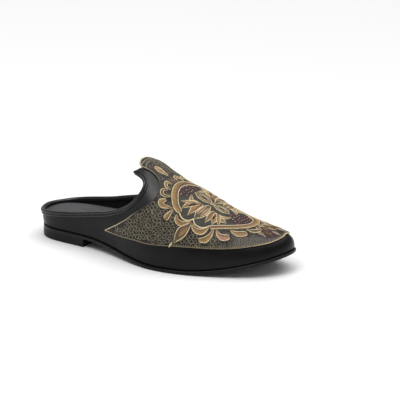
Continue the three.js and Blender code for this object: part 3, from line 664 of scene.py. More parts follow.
def thick_sheet(surface, outer, inner):
    """A closed sheet between two offsets: points, faces and what each face is."""
    place, rise, quads = surface
    count = len(place)
    points = np.concatenate([leather_point(place, rise, outer), leather_point(place, rise, inner)])
    start, end = border_edges(quads, count)
    walls = np.column_stack([end, start, start + count, end + count])
    faces = np.concatenate([quads, quads[:, ::-1] + count, walls])
    kinds = np.repeat([0, 1, 2], [len(quads), len(quads), len(walls)])
    return points, faces, kinds


# The panel laid flat: x is where a section meets the ridge, and g the distance from the ridge
# along the section, negative on the lateral side

FLAT_STATIONS = np.linspace(3.7, 10.0, 260)
FLAT_RISES = np.linspace(1.0, 0.0, 200)
FLAT_REACH = np.linspace(0.0, 130.0, 300)
FLAT_HEIGHT = 1.5


def flat_tables():
    tables = {}
    for side in ("lateral", "medial"):
        station, rise = np.meshgrid(FLAT_STATIONS, FLAT_RISES, indexing="ij")
        place = station if side == "lateral" else AROUND - station
        points = last_point(place, rise) + FLAT_HEIGHT * last_normal(place, rise)
        steps = np.linalg.norm(np.diff(points, axis=1), axis=2)
        arc = np.concatenate([np.zeros((len(steps), 1)), np.cumsum(steps, axis=1)], axis=1)
        rises = np.array([np.interp(FLAT_REACH, row, FLAT_RISES) for row in arc])
        tables[side] = {"arc": arc, "rise": rises, "x": points[:, 0, 0]}
    return tables


def between(table, row, columns):
    """Values of a table between its rows and columns, both counted from 0."""
    row = np.clip(row, 0, table.shape[0] - 1.001)
    columns = np.clip(columns, 0, table.shape[1] - 1.001)
    i, j = np.floor(row).astype(int), np.floor(columns).astype(int)
    a, b = row - i, columns - j
    low = table[i, j] * (1 - b) + table[i, j + 1] * b
    return low * (1 - a) + (table[i + 1, j] * (1 - b) + table[i + 1, j + 1] * b) * a


FLAT = flat_tables()
STATION_STEP = FLAT_STATIONS[1] - FLAT_STATIONS[0]
REACH_STEP = FLAT_REACH[1] - FLAT_REACH[0]


def flat_to_place(x, g):
    """The place and rise of points given flat."""
    station = np.interp(x, FLAT["lateral"]["x"], FLAT_STATIONS)
    row = (station - FLAT_STATIONS[0]) / STATION_STEP
    on_lateral = g <= 0
    lateral = between(FLAT["lateral"]["rise"], row, np.abs(g) / REACH_STEP)
    medial = between(FLAT["medial"]["rise"], row, np.abs(g) / REACH_STEP)
    return np.where(on_lateral, station, AROUND - station), np.where(on_lateral, lateral, medial)


def place_to_flat(place, rise):
    station = station_of(place)
    row = (station - FLAT_STATIONS[0]) / STATION_STEP
    columns = (1 - rise) * (len(FLAT_RISES) - 1)
    lateral = -between(FLAT["lateral"]["arc"], row, columns)
    medial = between(FLAT["medial"]["arc"], row, columns)
    on_lateral = np.mod(place, AROUND) <= TOE_STATION
    return np.interp(station, FLAT_STATIONS, FLAT["lateral"]["x"]), np.where(on_lateral, lateral, medial)


def read_off(table, where):
    """Values from a table of pairs, straight between its rows."""
    return np.interp(where, *zip(*table))


def axis_at(x):
    return read_off(AXIS, x)


def inside_distance(outline, x, d):
    """Distance to a closed outline, positive inside it."""
    corners = np.array(outline)
    ends = np.roll(corners, -1, axis=0)
    spot = np.stack([x, d], -1)
    nearest = np.full(len(x), np.inf)
    inside = np.zeros(len(x), bool)
    for start, end in zip(corners, ends):
        nearest = np.minimum(nearest, from_segment(spot, start, end)[1])
        side = end - start
        crosses = (start[1] > d) != (end[1] > d)
        rise = np.where(abs(side[1]) < 1e-9, 1e-9, side[1])
        inside ^= crosses & (x < start[0] + (d - start[1]) / rise * side[0])
    return np.where(inside, nearest, -nearest)


# Meshes


def frame_shift():
    """How far the frame's origin lies from the heel."""
    low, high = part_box("outsole")
    outline = outline_point(np.linspace(0, AROUND, 4000))
    centre = (outline.min(axis=0) + outline.max(axis=0)) / 2
    return np.array([(low.x + high.x) / 2 / MM - centre[0], (low.y + high.y) / 2 / MM - centre[1], 0.0])


SHIFT = frame_shift()


def to_frame(points):
    return (np.asarray(points) + SHIFT) * MM


def make_mesh(name, points, faces, materials, kinds=None, sharp=40):
    """A smooth mesh in the frame, with a material slot for each kind of face."""
    mesh = bpy.data.meshes.new(name)
    mesh.from_pydata(to_frame(points).tolist(), [], [list(face) for face in faces])
    for material in materials:
        mesh.materials.append(material)
    if kinds is not None:
        mesh.polygons.foreach_set("material_index", np.asarray(kinds, np.int32))
    mesh.shade_smooth()
    mesh.set_sharp_from_angle(angle=math.radians(sharp))
    mesh.validate()
    mesh.update()
    return mesh


def make_object(name, mesh):
    piece = bpy.data.objects.new(name, mesh)
    bpy.context.scene.collection.objects.link(piece)
    return piece


def mend_mesh(mesh, gap=1e-7):
    """Merges doubles and turns every face outwards."""
    work = bmesh.new()
    work.from_mesh(mesh)
    bmesh.ops.remove_doubles(work, verts=work.verts, dist=gap)
    bmesh.ops.recalc_face_normals(work, faces=work.faces)
    work.to_mesh(mesh)
    work.free()


def finish_piece(piece, slot, *nodes):
    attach(piece, "root")
    if nodes:
        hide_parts(*nodes)


def point_attribute(mesh, name, kind, values):
    attribute = mesh.attributes.new(name, kind, "POINT")
    key = "vector" if kind == "FLOAT_VECTOR" else "value"
    attribute.data.foreach_set(key, np.asarray(values, np.float32).ravel())


def stack_rings(rings):
    """Rings that run round the shoe, joined to each other, with rungs across the first and last."""
    count = len(rings[0])
    near = np.arange(count)
    far = (near + 1) % count
    faces = []
    for r in range(len(rings) - 1):
        low, high = r * count, (r + 1) * count
        faces.extend(np.column_stack([near + low, far + low, far + high, near + high]).tolist())
    top = (len(rings) - 1) * count
    for i in range(count // 2):
        rung = [i, i + 1, count - i - 1, (count - i) % count]
        rung = list(dict.fromkeys(rung))
        faces.append([corner for corner in reversed(rung)])
        faces.append([corner + top for corner in rung])
    return np.concatenate(rings), faces


def outline_ring(places, inset, height):
    """The outline drawn in by inset, at a height over the underside of the sole."""
    flat = outline_point(places) - np.asarray(inset)[..., None] * outline_normal(places)
    return np.column_stack([flat, sole_underside(flat[:, 0]) + height])


def sweep(centres, outs, ups, profile):
    """A profile of out and up steps carried along a line of points. It may differ at each point."""
    profile = np.array(profile)
    points = centres[:, None] + outs[:, None] * profile[..., :1] + ups[:, None] * profile[..., 1:]
    rows, count = points.shape[:2]
    index = np.arange(rows * count).reshape(rows, count)
    far = np.roll(index, -1, axis=1)
    quads = np.stack([index[:-1], far[:-1], far[1:], index[1:]], -1).reshape(-1, 4).tolist()
    quads.append(index[0][::-1].tolist())
    quads.append(index[-1].tolist())
    return points.reshape(-1, 3), quads


def join_shapes(shapes):
    """Shapes put together, each given as its points and its faces."""
    faces = []
    count = 0
    for points, shape_faces in shapes:
        faces.extend([[corner + count for corner in face] for face in shape_faces])
        count += len(points)
    return np.concatenate([points for points, _ in shapes]), faces


# Materials


def add_node(tree, kind, **values):
    """A node with its inputs set by name, where a value may be another node's output."""
    node = tree.nodes.new(kind)
    for name, value in values.items():
        socket = node.inputs[name.replace("_", " ")]
        if isinstance(value, bpy.types.NodeSocket):
            tree.links.new(value, socket)
        else:
            socket.default_value = value
    return node


def new_material(name, roughness, specular=0.5, sheen=0.0):
    material = bpy.data.materials.new(name)
    material.use_nodes = True
    shader = material.node_tree.nodes["Principled BSDF"]
    shader.inputs["Roughness"].default_value = roughness
    shader.inputs["Specular IOR Level"].default_value = specular
    shader.inputs["Sheen Weight"].default_value = sheen
    return material, material.node_tree, shader


def noise(tree, coordinates, scale, detail=3.0, roughness=0.5):
    return add_node(
        tree, "ShaderNodeTexNoise", Vector=coordinates, Scale=scale, Detail=detail, Roughness=roughness,
    ).outputs["Fac"]


def remap(tree, value, low, high, new_low, new_high):
    node = add_node(tree, "ShaderNodeMapRange", Value=value)
    for name, number in zip(("From Min", "From Max", "To Min", "To Max"), (low, high, new_low, new_high)):
        node.inputs[name].default_value = number
    return node.outputs["Result"]


def mixed(tree, factor, first, second):
    """Two colours mixed by a factor."""
    node = tree.nodes.new("ShaderNodeMix")
    node.data_type = "RGBA"
    sockets = (node.inputs["Factor"], node.inputs[6], node.inputs[7])
    for socket, value in zip(sockets, (factor, first, second)):
        if isinstance(value, bpy.types.NodeSocket):
            tree.links.new(value, socket)
        else:
            socket.default_value = value
    return node.outputs[2]


def toned(colour, amount):
    return (*(min(1.0, channel * amount) for channel in colour), 1.0)


def bumped(tree, shader, heights):
    """Bumps from finest to broadest, each given as a height, its strength and its distance."""
    normal = None
    for height, strength, distance in heights:
        bump = add_node(tree, "ShaderNodeBump", Height=height, Strength=strength, Distance=distance)
        if normal is not None:
            tree.links.new(normal, bump.inputs["Normal"])
        normal = bump.outputs["Normal"]
    tree.links.new(normal, shader.inputs["Normal"])


def object_coordinates(tree):
    return tree.nodes.new("ShaderNodeTexCoord").outputs["Object"]


def smooth_leather(name, colour, roughness, grain, specular=0.5, sheen=0.0):
    """Calf leather: fine pores, a loose fold pattern, uneven dye and uneven gloss."""
    material, tree, shader = new_material(name, roughness, specular, sheen)
    where = object_coordinates(tree)
    cloudy = noise(tree, where, 34.0, 4.0)
    tree.links.new(
        mixed(tree, remap(tree, cloudy, 0.3, 0.7, 0.0, 1.0), toned(colour, 0.78), toned(colour, 1.22)),
        shader.inputs["Base Color"],
    )
    tree.links.new(
        remap(tree, noise(tree, where, 90.0), 0.3, 0.7, roughness - 0.06, roughness + 0.08),
        shader.inputs["Roughness"],
    )
    pores = add_node(tree, "ShaderNodeTexVoronoi", Vector=where, Scale=1300.0)
    pores.feature = "SMOOTH_F1"
    bumped(tree, shader, (
        (pores.outputs["Distance"], 0.22 * grain, 0.00025),
        (noise(tree, where, 420.0, 2.0), 0.16 * grain, 0.0004),
        (noise(tree, where, 70.0, 2.0), 0.12 * grain, 0.0012),
    ))
    return material


def attribute(tree, name):
    node = tree.nodes.new("ShaderNodeAttribute")
    node.attribute_name = name
    return node.outputs["Fac"]


SATIN_ROUGHNESS = 0.36


def add_satin_and_painted_highlight(material, colour, coat):
    """Makes a leather glossier with a satin coat and lighter with a painted highlight, where its mask
    attribute says so.
    """
    tree = material.node_tree
    shader = tree.nodes["Principled BSDF"]
    shader.inputs["Coat Roughness"].default_value = SATIN_ROUGHNESS
    share = attribute(tree, "satin")
    plain = shader.inputs["Base Color"].links[0].from_socket
    tree.links.new(mixed(tree, share, plain, toned(colour, 1.0)), shader.inputs["Base Color"])
    tree.links.new(remap(tree, share, 0.0, 1.0, 0.0, coat), shader.inputs["Coat Weight"])


def paint_material(name, colour, roughness=0.55, shadow=None):
    """Paint worked into leather: rubbed thin in places, with a fine dry grain. Where there is a
    shadow colour, the attribute called shading mixes it in."""
    material, tree, shader = new_material(name, roughness, specular=0.2)
    where = object_coordinates(tree)
    rubbed = noise(tree, where, 420.0, 5.0, 0.65)
    tint = mixed(tree, remap(tree, rubbed, 0.35, 0.68, 0.0, 1.0), toned(colour, 0.66), toned(colour, 1.16))
    if shadow is not None:
        tint = mixed(tree, attribute(tree, "shading"), tint, toned(shadow, 1.0))
    tree.links.new(tint, shader.inputs["Base Color"])
    pores = add_node(tree, "ShaderNodeTexVoronoi", Vector=where, Scale=1500.0)
    bumped(tree, shader, (
        (pores.outputs["Distance"], 0.35, 0.0002),
        (rubbed, 0.35, 0.0004),
    ))
    return material


def panel_material(colours):
    """The panel's grounds, told apart by its own attributes, with worn grain and toe hatching."""
    material, tree, shader = new_material("panel_ground", 0.6, specular=0.2)
    where = object_coordinates(tree)
    blotches = remap(tree, noise(tree, where, 150.0, 5.0, 0.62), 0.38, 0.66, 0.0, 1.0)
    base = mixed(tree, blotches, toned(colours.ground, 0.8), toned(colours.ground_light, 0.9))
    flat = tree.nodes.new("ShaderNodeUVMap").outputs["UV"]
    turned = add_node(tree, "ShaderNodeMapping", Vector=flat, Rotation=(0.0, 0.0, math.radians(-32)))
    lines = add_node(tree, "ShaderNodeTexWave", Vector=turned.outputs["Vector"], Scale=15.0, Distortion=9.0)
    strokes = remap(tree, lines.outputs["Fac"], 0.45, 0.95, 0.0, 1.0)
    hatched = mixed(tree, strokes, toned(colours.hatch, 0.55), toned(colours.hatch, 1.1))
    grounds = (
        ("neck", toned(colours.neck, 0.9)),
        ("hatch", hatched),
        ("slate", mixed(tree, blotches, toned(colours.slate, 0.8), toned(colours.slate, 1.15))),
        ("brown", mixed(tree, blotches, toned(colours.brown, 0.75), toned(colours.brown, 1.2))),
    )
    for name, colour in grounds:
        base = mixed(tree, attribute(tree, name), base, colour)
    tree.links.new(base, shader.inputs["Base Color"])
    pores = add_node(tree, "ShaderNodeTexVoronoi", Vector=where, Scale=1100.0)
    bumped(tree, shader, (
        (pores.outputs["Distance"], 0.4, 0.0003),
        (noise(tree, where, 500.0, 4.0), 0.35, 0.0005),
    ))
    return material


def rubber_material(name, colour):
    material, tree, shader = new_material(name, 0.5, specular=0.18)
    where = object_coordinates(tree)
    speckle = noise(tree, where, 700.0, 3.0)
    tint = mixed(tree, speckle, toned(colour, 0.8), toned(colour, 1.25))
    tree.links.new(tint, shader.inputs["Base Color"])
    bumped(tree, shader, ((speckle, 0.25, 0.0003),))
    return material


def sole_material(name, colour):
    """A dressed edge: close layers, burnished with wax."""
    material, tree, shader = new_material(name, 0.34, specular=0.22)
    where = object_coordinates(tree)
    layers = add_node(tree, "ShaderNodeMapping", Vector=where, Scale=(1.0, 1.0, 9.0))
    fibres = noise(tree, layers.outputs["Vector"], 220.0, 4.0)
    tree.links.new(mixed(tree, fibres, toned(colour, 0.75), toned(colour, 1.3)), shader.inputs["Base Color"])
    bumped(tree, shader, ((fibres, 0.22, 0.0004),))
    return material


def thread_material(name, colour):
    """Twisted thread, with its plies as fine slanting lines."""
    material, tree, shader = new_material(name, 0.62, specular=0.4, sheen=0.3)
    where = object_coordinates(tree)
    plies = add_node(tree, "ShaderNodeTexWave", Vector=where, Scale=900.0, Distortion=2.0)
    tint = mixed(tree, plies.outputs["Fac"], toned(colour, 0.72), toned(colour, 1.2))
    tree.links.new(tint, shader.inputs["Base Color"])
    bumped(tree, shader, ((plies.outputs["Fac"], 0.5, 0.0002),))
    return material


# Repeated small shapes by Geometry Nodes


BEAD_SIZES = ("Length", "Width", "Height")


def capsule_shape(tree, inputs):
    """A rounded bead, as long, wide and high as the inputs say."""
    ball = add_node(tree, "GeometryNodeMeshUVSphere", Segments=8, Rings=5, Radius=0.5)
    size = add_node(
        tree, "ShaderNodeCombineXYZ", X=inputs["Length"], Y=inputs["Width"], Z=inputs["Height"],
    )
    shaped = add_node(
        tree, "GeometryNodeTransform", Geometry=ball.outputs["Mesh"], Scale=size.outputs["Vector"],
    )
    return shaped.outputs["Geometry"]


def scroll_shape(tree, inputs):
    """A flat scroll: a line that winds outwards for a little over one turn."""
    spiral = add_node(
        tree, "GeometryNodeCurveSpiral", Resolution=13, Rotations=1.2, Height=0.0,
        Start_Radius=inputs["Inner"], End_Radius=inputs["Outer"],
    )
    section = add_node(tree, "GeometryNodeCurvePrimitiveCircle", Resolution=4, Radius=inputs["Line"])
    tube = add_node(
        tree, "GeometryNodeCurveToMesh", Curve=spiral.outputs["Curve"],
        Profile_Curve=section.outputs["Curve"], Fill_Caps=True,
    )
    return tube.outputs["Mesh"]


def scatter_tree(name, sizes, shape):
    """A tree that sets one small shape on every point, along the point's own heading."""
    tree = bpy.data.node_groups.new(name, "GeometryNodeTree")
    tree.interface.new_socket(name="Points", in_out="INPUT", socket_type="NodeSocketGeometry")
    for label in sizes:
        tree.interface.new_socket(name=label, in_out="INPUT", socket_type="NodeSocketFloat")
    tree.interface.new_socket(name="Material", in_out="INPUT", socket_type="NodeSocketMaterial")
    tree.interface.new_socket(name="Pieces", in_out="OUTPUT", socket_type="NodeSocketGeometry")
    inputs = tree.nodes.new("NodeGroupInput").outputs
    facts = {}
    for label, kind in (("normal", "FLOAT_VECTOR"), ("heading", "FLOAT_VECTOR"), ("size", "FLOAT")):
        reader = add_node(tree, "GeometryNodeInputNamedAttribute", Name=label)
        reader.data_type = kind
        facts[label] = reader.outputs["Attribute"]
    upright = add_node(tree, "FunctionNodeAlignRotationToVector", Vector=facts["normal"])
    upright.axis = "Z"
    turned = add_node(
        tree, "FunctionNodeAlignRotationToVector",
        Rotation=upright.outputs["Rotation"], Vector=facts["heading"],
    )
    turned.axis = "X"
    turned.pivot_axis = "Z"
    placed = add_node(
        tree, "GeometryNodeInstanceOnPoints", Points=inputs["Points"], Instance=shape(tree, inputs),
        Rotation=turned.outputs["Rotation"], Scale=facts["size"],
    )
    real = add_node(tree, "GeometryNodeRealizeInstances", Geometry=placed.outputs["Instances"])
    smooth = add_node(tree, "GeometryNodeSetShadeSmooth", Geometry=real.outputs["Geometry"])
    painted = add_node(
        tree, "GeometryNodeSetMaterial", Geometry=smooth.outputs["Geometry"], Material=inputs["Material"],
    )
    output = tree.nodes.new("NodeGroupOutput")
    tree.links.new(painted.outputs["Geometry"], output.inputs["Pieces"])
    return tree


def scatter(name, spots, tree, values, material):
    """Runs a scatter tree on spots, each a point, a normal, a heading and a size, as one mesh."""
    points, normals, headings, sizes = spots
    seeds = bpy.data.meshes.new(name + "_points")
    seeds.from_pydata(to_frame(points).tolist(), [], [])
    point_attribute(seeds, "normal", "FLOAT_VECTOR", normals)
    point_attribute(seeds, "heading", "FLOAT_VECTOR", headings)
    point_attribute(seeds, "size", "FLOAT", sizes)
    holder = make_object(name + "_points", seeds)
    modifier = holder.modifiers.new("Scatter", "NODES")
    modifier.node_group = tree
    values = {**values, "Material": material}
    for item in tree.interface.items_tree:
        if item.in_out == "INPUT" and item.name in values:
            modifier[item.identifier] = values[item.name]
    bpy.context.view_layer.update()
    evaluated = holder.evaluated_get(bpy.context.evaluated_depsgraph_get())
    mesh = bpy.data.meshes.new_from_object(evaluated)
    if len(mesh.polygons) == 0:
        raise RuntimeError(f"nothing was scattered for {name}")
    holder.modifiers.remove(modifier)
    bpy.data.objects.remove(holder)
    mesh.materials.clear()
    mesh.materials.append(material)
    mesh.polygons.foreach_set("material_index", np.zeros(len(mesh.polygons), np.int32))
    mesh.name = name
    return make_object(name, mesh)


# Outsole and heel


def around_places(steps):
    return np.arange(2 * steps) * (TOE_STATION / steps)


# The underside's rounded edge goes flat where the heel block meets it
UNDER_EDGE_FADE = (HEEL_LENGTH - 1, HEEL_LENGTH + 7)


def make_outsole(colours):
    places = around_places(130)
    x = outline_point(places)[:, 0]
    off_heel = smoothstep(x, *UNDER_EDGE_FADE)
    rings = []
    for inset, height in SOLE_PROFILE:
        under = height < SOLE_THICKNESS / 2
        rings.append(outline_ring(places, inset * (off_heel if under else np.ones_like(x)), height))
    points, faces = stack_rings(rings)
    mesh = make_mesh("dressed_outsole", points, faces, [sole_material("sole_edge", colours.sole)])
    mend_mesh(mesh)
    finish_piece(make_object("dressed_outsole", mesh), "sole_leather", "outsole")


def place_at(x):
    """The place on the lateral side where the outline reaches x."""
    places = np.linspace(0.2, 5.0, 2000)
    return np.interp(x, outline_point(places)[:, 0], places)


def make_heel(colours):
    breast = float(place_at(HEEL_LENGTH))
    share = np.linspace(0, 1, 61)
    places = np.concatenate([breast * share, AROUND - breast * share[:0:-1]])
    rings = []
    for inset, height in HEEL_PROFILE:
        flat = outline_point(places) - inset * outline_normal(places)
        flat[:, 0] = np.minimum(flat[:, 0], HEEL_LENGTH - inset)
        rings.append(np.column_stack([flat, np.full(len(flat), height)]))
    points, faces = stack_rings(rings)
    mesh = make_mesh("dressed_heel", points, faces, [rubber_material("heel_block", colours.heel)])
    mend_mesh(mesh)
    finish_piece(make_object("dressed_heel", mesh), "heel_rubber", "heel")


# Insole


def insole_bottom(x):
    return sole_underside(x) + SOLE_THICKNESS + PIECE_GAP


def insole_top(x):
    slope = smoothstep(x, PAD_END, SLOPE_END)
    forefoot = insole_bottom(x) + FOREFOOT_PAD
    return HEEL_PAD_HEIGHT * (1 - slope) + forefoot * slope


def rise_at_height(place, height):
    low = np.zeros(len(place))
    high = np.ones(len(place))
    for _ in range(HALVINGS):
        middle = (low + high) / 2
        below = last_point(place, middle)[:, 2] < height
        low = np.where(below, middle, low)
        high = np.where(below, high, middle)
    return low


def insole_ring(places, gap, inset, height_at):
    height = height_at(outline_point(places)[:, 0])
    rise = rise_at_height(places, height)
    points = last_point(places, rise) - gap * last_normal(places, rise)
    points[:, :2] -= inset * outline_normal(places)
    points[:, 2] = height_at(points[:, 0])
    return points


# Soft folds of the insole, each from start to end, in millimetres
Fold = namedtuple("Fold", "start end depth width")
INSOLE_FOLDS = (
    Fold((17.0, -6.0), (36.0, 8.0), -1.5, 1.7),
    Fold((29.0, 6.2), (54.0, 8.6), -1.5, 1.7),
    Fold((28.0, -4.0), (50.0, 2.5), 0.9, 4.0),
    Fold((96.0, -20.0), (104.0, 18.0), -0.5, 7.0),
    Fold((70.0, 6.0), (84.0, 20.0), -0.35, 6.0),
)


def fold_height(x, y):
    spot = np.stack([x, y], -1)
    height = np.zeros(x.shape)
    for fold in INSOLE_FOLDS:
        share, away = from_segment(spot, np.array(fold.start), np.array(fold.end))
        fade = np.sin(np.clip(share, 0.05, 0.95) * math.pi)
        height += fold.depth * fade * np.exp(-((away / fold.width) ** 2))
    return height


def make_insole(sizes, colours):
    """A padded sock: straight walls, a rolled edge and a crowned, lightly creased top."""
    gap = sizes.wall / MM + 0.5
    foot_inset = 0.4
    roll = 1.8
    steps = 150
    columns = 60
    crown = 1.4
    crown_end = (90.0, 150.0)
    crown_margin = 9.0
    fold_margin = 5.0
    places = around_places(steps)
    rings = [insole_ring(places, gap, foot_inset, insole_bottom)]
    for angle in (0.0, 22.5, 45.0, 67.5, 90.0):
        turn = math.radians(angle)
        inset, drop = roll * (1 - math.cos(turn)), roll * (1 - math.sin(turn))
        rings.append(insole_ring(places, gap, inset, lambda x, drop=drop: insole_top(x) - drop))
    edge = rings[-1]
    lateral = edge[: steps + 1]
    medial = edge[-np.arange(steps + 1) % (2 * steps)]
    share = np.linspace(0, 1, columns + 1)[None, :, None]
    grid = lateral[:, None] * (1 - share) + medial[:, None] * share
    away = np.linalg.norm(grid[:, :, None, :2] - edge[None, None, :, :2], axis=-1).min(axis=-1)
    fade = 1 - smoothstep(grid[..., 0], *crown_end)
    grid[..., 2] = insole_top(grid[..., 0]) + crown * fade * smoothstep(away, 0.0, crown_margin)
    grid[..., 2] += fold_height(grid[..., 0], grid[..., 1]) * smoothstep(away, 0.0, fold_margin)
    points, faces = stack_rings(rings)
    faces = [face for face in faces if min(face) < (len(rings) - 1) * 2 * steps]
    start = len(points)
    index = start + np.arange((steps + 1) * (columns + 1)).reshape(steps + 1, columns + 1)
    quads = np.stack([index[:-1, :-1], index[1:, :-1], index[1:, 1:], index[:-1, 1:]], -1)
    faces.extend(quads.reshape(-1, 4).tolist())
    points = np.concatenate([points, grid.reshape(-1, 3)])
    leather = smooth_leather("insole_sock", colours.insole, 0.62, 0.9, specular=0.25, sheen=0.1)
    mesh = make_mesh("padded_insole", points, faces, [leather])
    mend_mesh(mesh, 2e-6)
    piece = make_object("padded_insole", mesh)
    finish_piece(piece, "insole_leather", "insole")


# Upper, panel and ornament


# The facing's satin coat and painted highlight come in over these rises and go out over these stations
SATIN_AND_HIGHLIGHT_RISES = (0.24, 0.47)
SATIN_AND_HIGHLIGHT_STATIONS = (5.4, 5.9)
SATIN_COAT = 0.42


def make_upper(sizes, colours):
    surface = join_sides(shoe_patches(UPPER_CUTS))
    points, faces, kinds = thick_sheet(surface, 0.0, -sizes.wall / MM)
    materials = [
        smooth_leather("upper_black", colours.upper, 0.36, 1.0, specular=0.18),
        smooth_leather("upper_lining", colours.lining, 0.66, 0.8, specular=0.14),
        smooth_leather("upper_cut_edge", toned(colours.lining, 1.5)[:3], 0.6, 1.0),
    ]
    # The facing gets a satin coat and a painted highlight: its lighter colour mixed in by a mask
    add_satin_and_painted_highlight(materials[0], colours.facing, SATIN_COAT)
    mesh = make_mesh("hollow_upper", points, faces, materials, kinds)
    place, rise, _ = surface
    # Mask of the facing's satin coat and painted highlight, stronger higher up the facing
    satin = smoothstep(rise, *SATIN_AND_HIGHLIGHT_RISES) * (1 - smoothstep(station_of(place), *SATIN_AND_HIGHLIGHT_STATIONS))
    point_attribute(mesh, "satin", "FLOAT", np.tile(satin, 2))
    finish_piece(make_object("hollow_upper", mesh), "upper_leather", "upper")


# Height and section of the dark strip over the sole: painted shadow along the seam line
SEAM_SHADOW_HEIGHT = 0.5
SEAM_SHADOW_SECTION = ((-0.3, -0.45), (0.16, -0.45), (0.16, 0.45), (-0.3, 0.45))


def make_seam(colours):
    """A dark strip where the upper meets the sole all the way round: the seam line, made near black as
    painted shadow under the upper's edge.
    """
    places = np.linspace(0, AROUND, 481)
    rise = rise_at_height(places, last_point(places, 0.0)[:, 2] + SEAM_SHADOW_HEIGHT)
    points, outs, ups = edge_frame(np.column_stack([places, rise]), 0.0)
    points, faces = sweep(points, outs, ups, SEAM_SHADOW_SECTION)
    # Half as bright as the sole: painted shadow
    material, _, shader = new_material("seam_black", 0.85, specular=0.02)
    shader.inputs["Base Color"].default_value = toned(colours.sole, 0.5)
    mesh = make_mesh("seam", points, faces, [material])
    mend_mesh(mesh)
    finish_piece(make_object("seam", mesh), "upper_leather")


def ground_shares(x, g):
    """How much of each ground shows at points given flat."""
    d = np.abs(axis_at(x) - g)
    soft = 0.5
    field = smoothstep(inside_distance(FIELD, x, d), -soft, soft)
    dots = np.maximum(inside_distance(BACK_DOTS, x, d), inside_distance(FRONT_DOTS, x, d))
    sprig = smoothstep(inside_distance(TOE_SPRIG, x, d), -1.5, 1.5)
    return {
        "slate": field,
        "brown": np.maximum(smoothstep(dots, -1.0, 1.0) * field, sprig * 0.8),
        "hatch": smoothstep(inside_distance(TOE_HATCH, x, d), -3.0, 3.0) * (1 - sprig),
        "neck": smoothstep(inside_distance(NECK, x, d), -4.0, 4.0) * 0.8,
    }


def panel_border():
    """The open edge of the panel on one side, from the lobe's end round to the toe."""
    lobe = edge_cut(LOBE_EDGE, 0, len(LOBE_EDGE) - 1, 40)[::-1]
    back = edge_cut(BACK_EDGE, 0, len(BACK_EDGE) - 1, 190)[::-1]
    lower = edge_cut(LOWER_EDGE, 0, len(LOWER_EDGE) - 1, 240)
    return lobe, back, lower


def other_side(cuts):
    """The same line on the medial side."""
    return cuts * [-1, 1] + [AROUND, 0]


def both_sides(half):
    """A line on one side carried over to the other through its last point."""
    return np.concatenate([half, other_side(half[-2::-1])])


def edge_frame(cuts, lift):
    """Points, outward and sideways directions along a line on the shoe."""
    place, rise = cuts[:, 0], cuts[:, 1]
    points = leather_point(place, rise, lift)
    outs = last_normal(place, rise)
    sides = unit(np.cross(np.gradient(points, axis=0), outs))
    return points, outs, sides


def panel_top(sizes):
    """The height of the panel's face over the last."""
    return PIECE_GAP + sizes.panel / MM


def make_panel(sizes, colours):
    _, _, _, vamp, lobe = shoe_patches(PANEL_CUTS)
    surface = join_sides((vamp, lobe))
    points, faces, kinds = thick_sheet(surface, panel_top(sizes), PIECE_GAP)
    ground = panel_material(colours)
    raw = paint_material("raw_edge", toned(colours.ground, 1.1)[:3], 0.7)
    flesh = smooth_leather("panel_flesh", toned(colours.ground, 1.2)[:3], 0.8, 1.0)
    mesh = make_mesh("patterned_panel", points, faces, [ground, flesh, raw], kinds)
    x, g = place_to_flat(surface[0], surface[1])
    flat = np.column_stack([np.tile(x, 2), np.tile(g, 2)]) / 100
    corners = np.zeros(len(mesh.loops), np.int32)
    mesh.loops.foreach_get("vertex_index", corners)
    mesh.uv_layers.new(name="flat").data.foreach_set("uv", flat[corners].astype(np.float32).ravel())
    for name, share in ground_shares(x, g).items():
        point_attribute(mesh, name, "FLOAT", np.tile(share, 2))
    finish_piece(make_object("patterned_panel", mesh), "panel_leather", "vamp_panel")


# How pale the raw edge is along its stretches: a share of the way, and the paleness there. The dark middle
# of the back stretch, along the facing, is painted shade.
BACK_PALENESS = (
    (0.0, 1.0), (0.10, 1.0), (0.17, 0.75), (0.26, 0.5), (0.32, 0.08), (0.62, 0.05), (0.75, 0.35),
    (1.0, 1.0),
)
LOWER_PALENESS = ((0.0, 0.75), (0.04, 0.45), (0.30, 0.30), (0.62, 0.35), (0.74, 0.75), (1.0, 0.95))

# How wide the raw edge is along the same stretches, how high it stands and how deep it sits
BACK_WIDTH = ((0.0, 1.0), (0.62, 0.9), (0.78, 1.1), (0.86, 1.7), (1.0, 1.7))
LOWER_WIDTH = ((0.0, 1.0), (0.4, 0.8), (0.8, 1.1), (0.94, 1.5), (1.0, 1.5))
EDGE_HEIGHT = 0.36
EDGE_SINK = 0.05


def make_panel_edge(sizes, colours):
    """The raw edge that is rubbed up round the panel, pale along some stretches and dark along others; its
    dark stretch along the facing is painted shade.
    """
    half = sizes.edge_bead / MM / 2
    turns = np.linspace(0, 2 * math.pi, 9)[:-1]
    bead = np.column_stack([EDGE_HEIGHT * np.sin(turns), half * np.cos(turns)])
    lift = panel_top(sizes) - EDGE_SINK
    lobe, back, lower = panel_border()
    shapes, shading = [], []
    stretches = ((joined(lobe, back)[::-1], BACK_PALENESS, BACK_WIDTH), (lower, LOWER_PALENESS, LOWER_WIDTH))
    for half_line, paleness, width in stretches:
        cuts = both_sides(half_line)
        line_points, outs, sides = edge_frame(cuts, lift)
        share = 1 - np.abs(np.linspace(-1, 1, len(cuts)))
        widths = read_off(width, share)
        shapes.append(sweep(line_points, outs, sides, bead * widths[:, None, None]))
        pale_share = read_off(paleness, share)
        shading.append(np.repeat(1 - pale_share, len(bead)))
    points, faces = join_shapes(shapes)
    # Where the edge is less pale it is darkened towards the ground colour: painted shade along the facing
    raw = paint_material("edge_cream", colours.cream, 0.6, toned(colours.ground, 0.8)[:3])
    mesh = make_mesh("panel_edge", points, faces, [raw], sharp=80)
    point_attribute(mesh, "shading", "FLOAT", np.concatenate(shading))
    mend_mesh(mesh)
    finish_piece(make_object("panel_edge", mesh), "panel_leather")


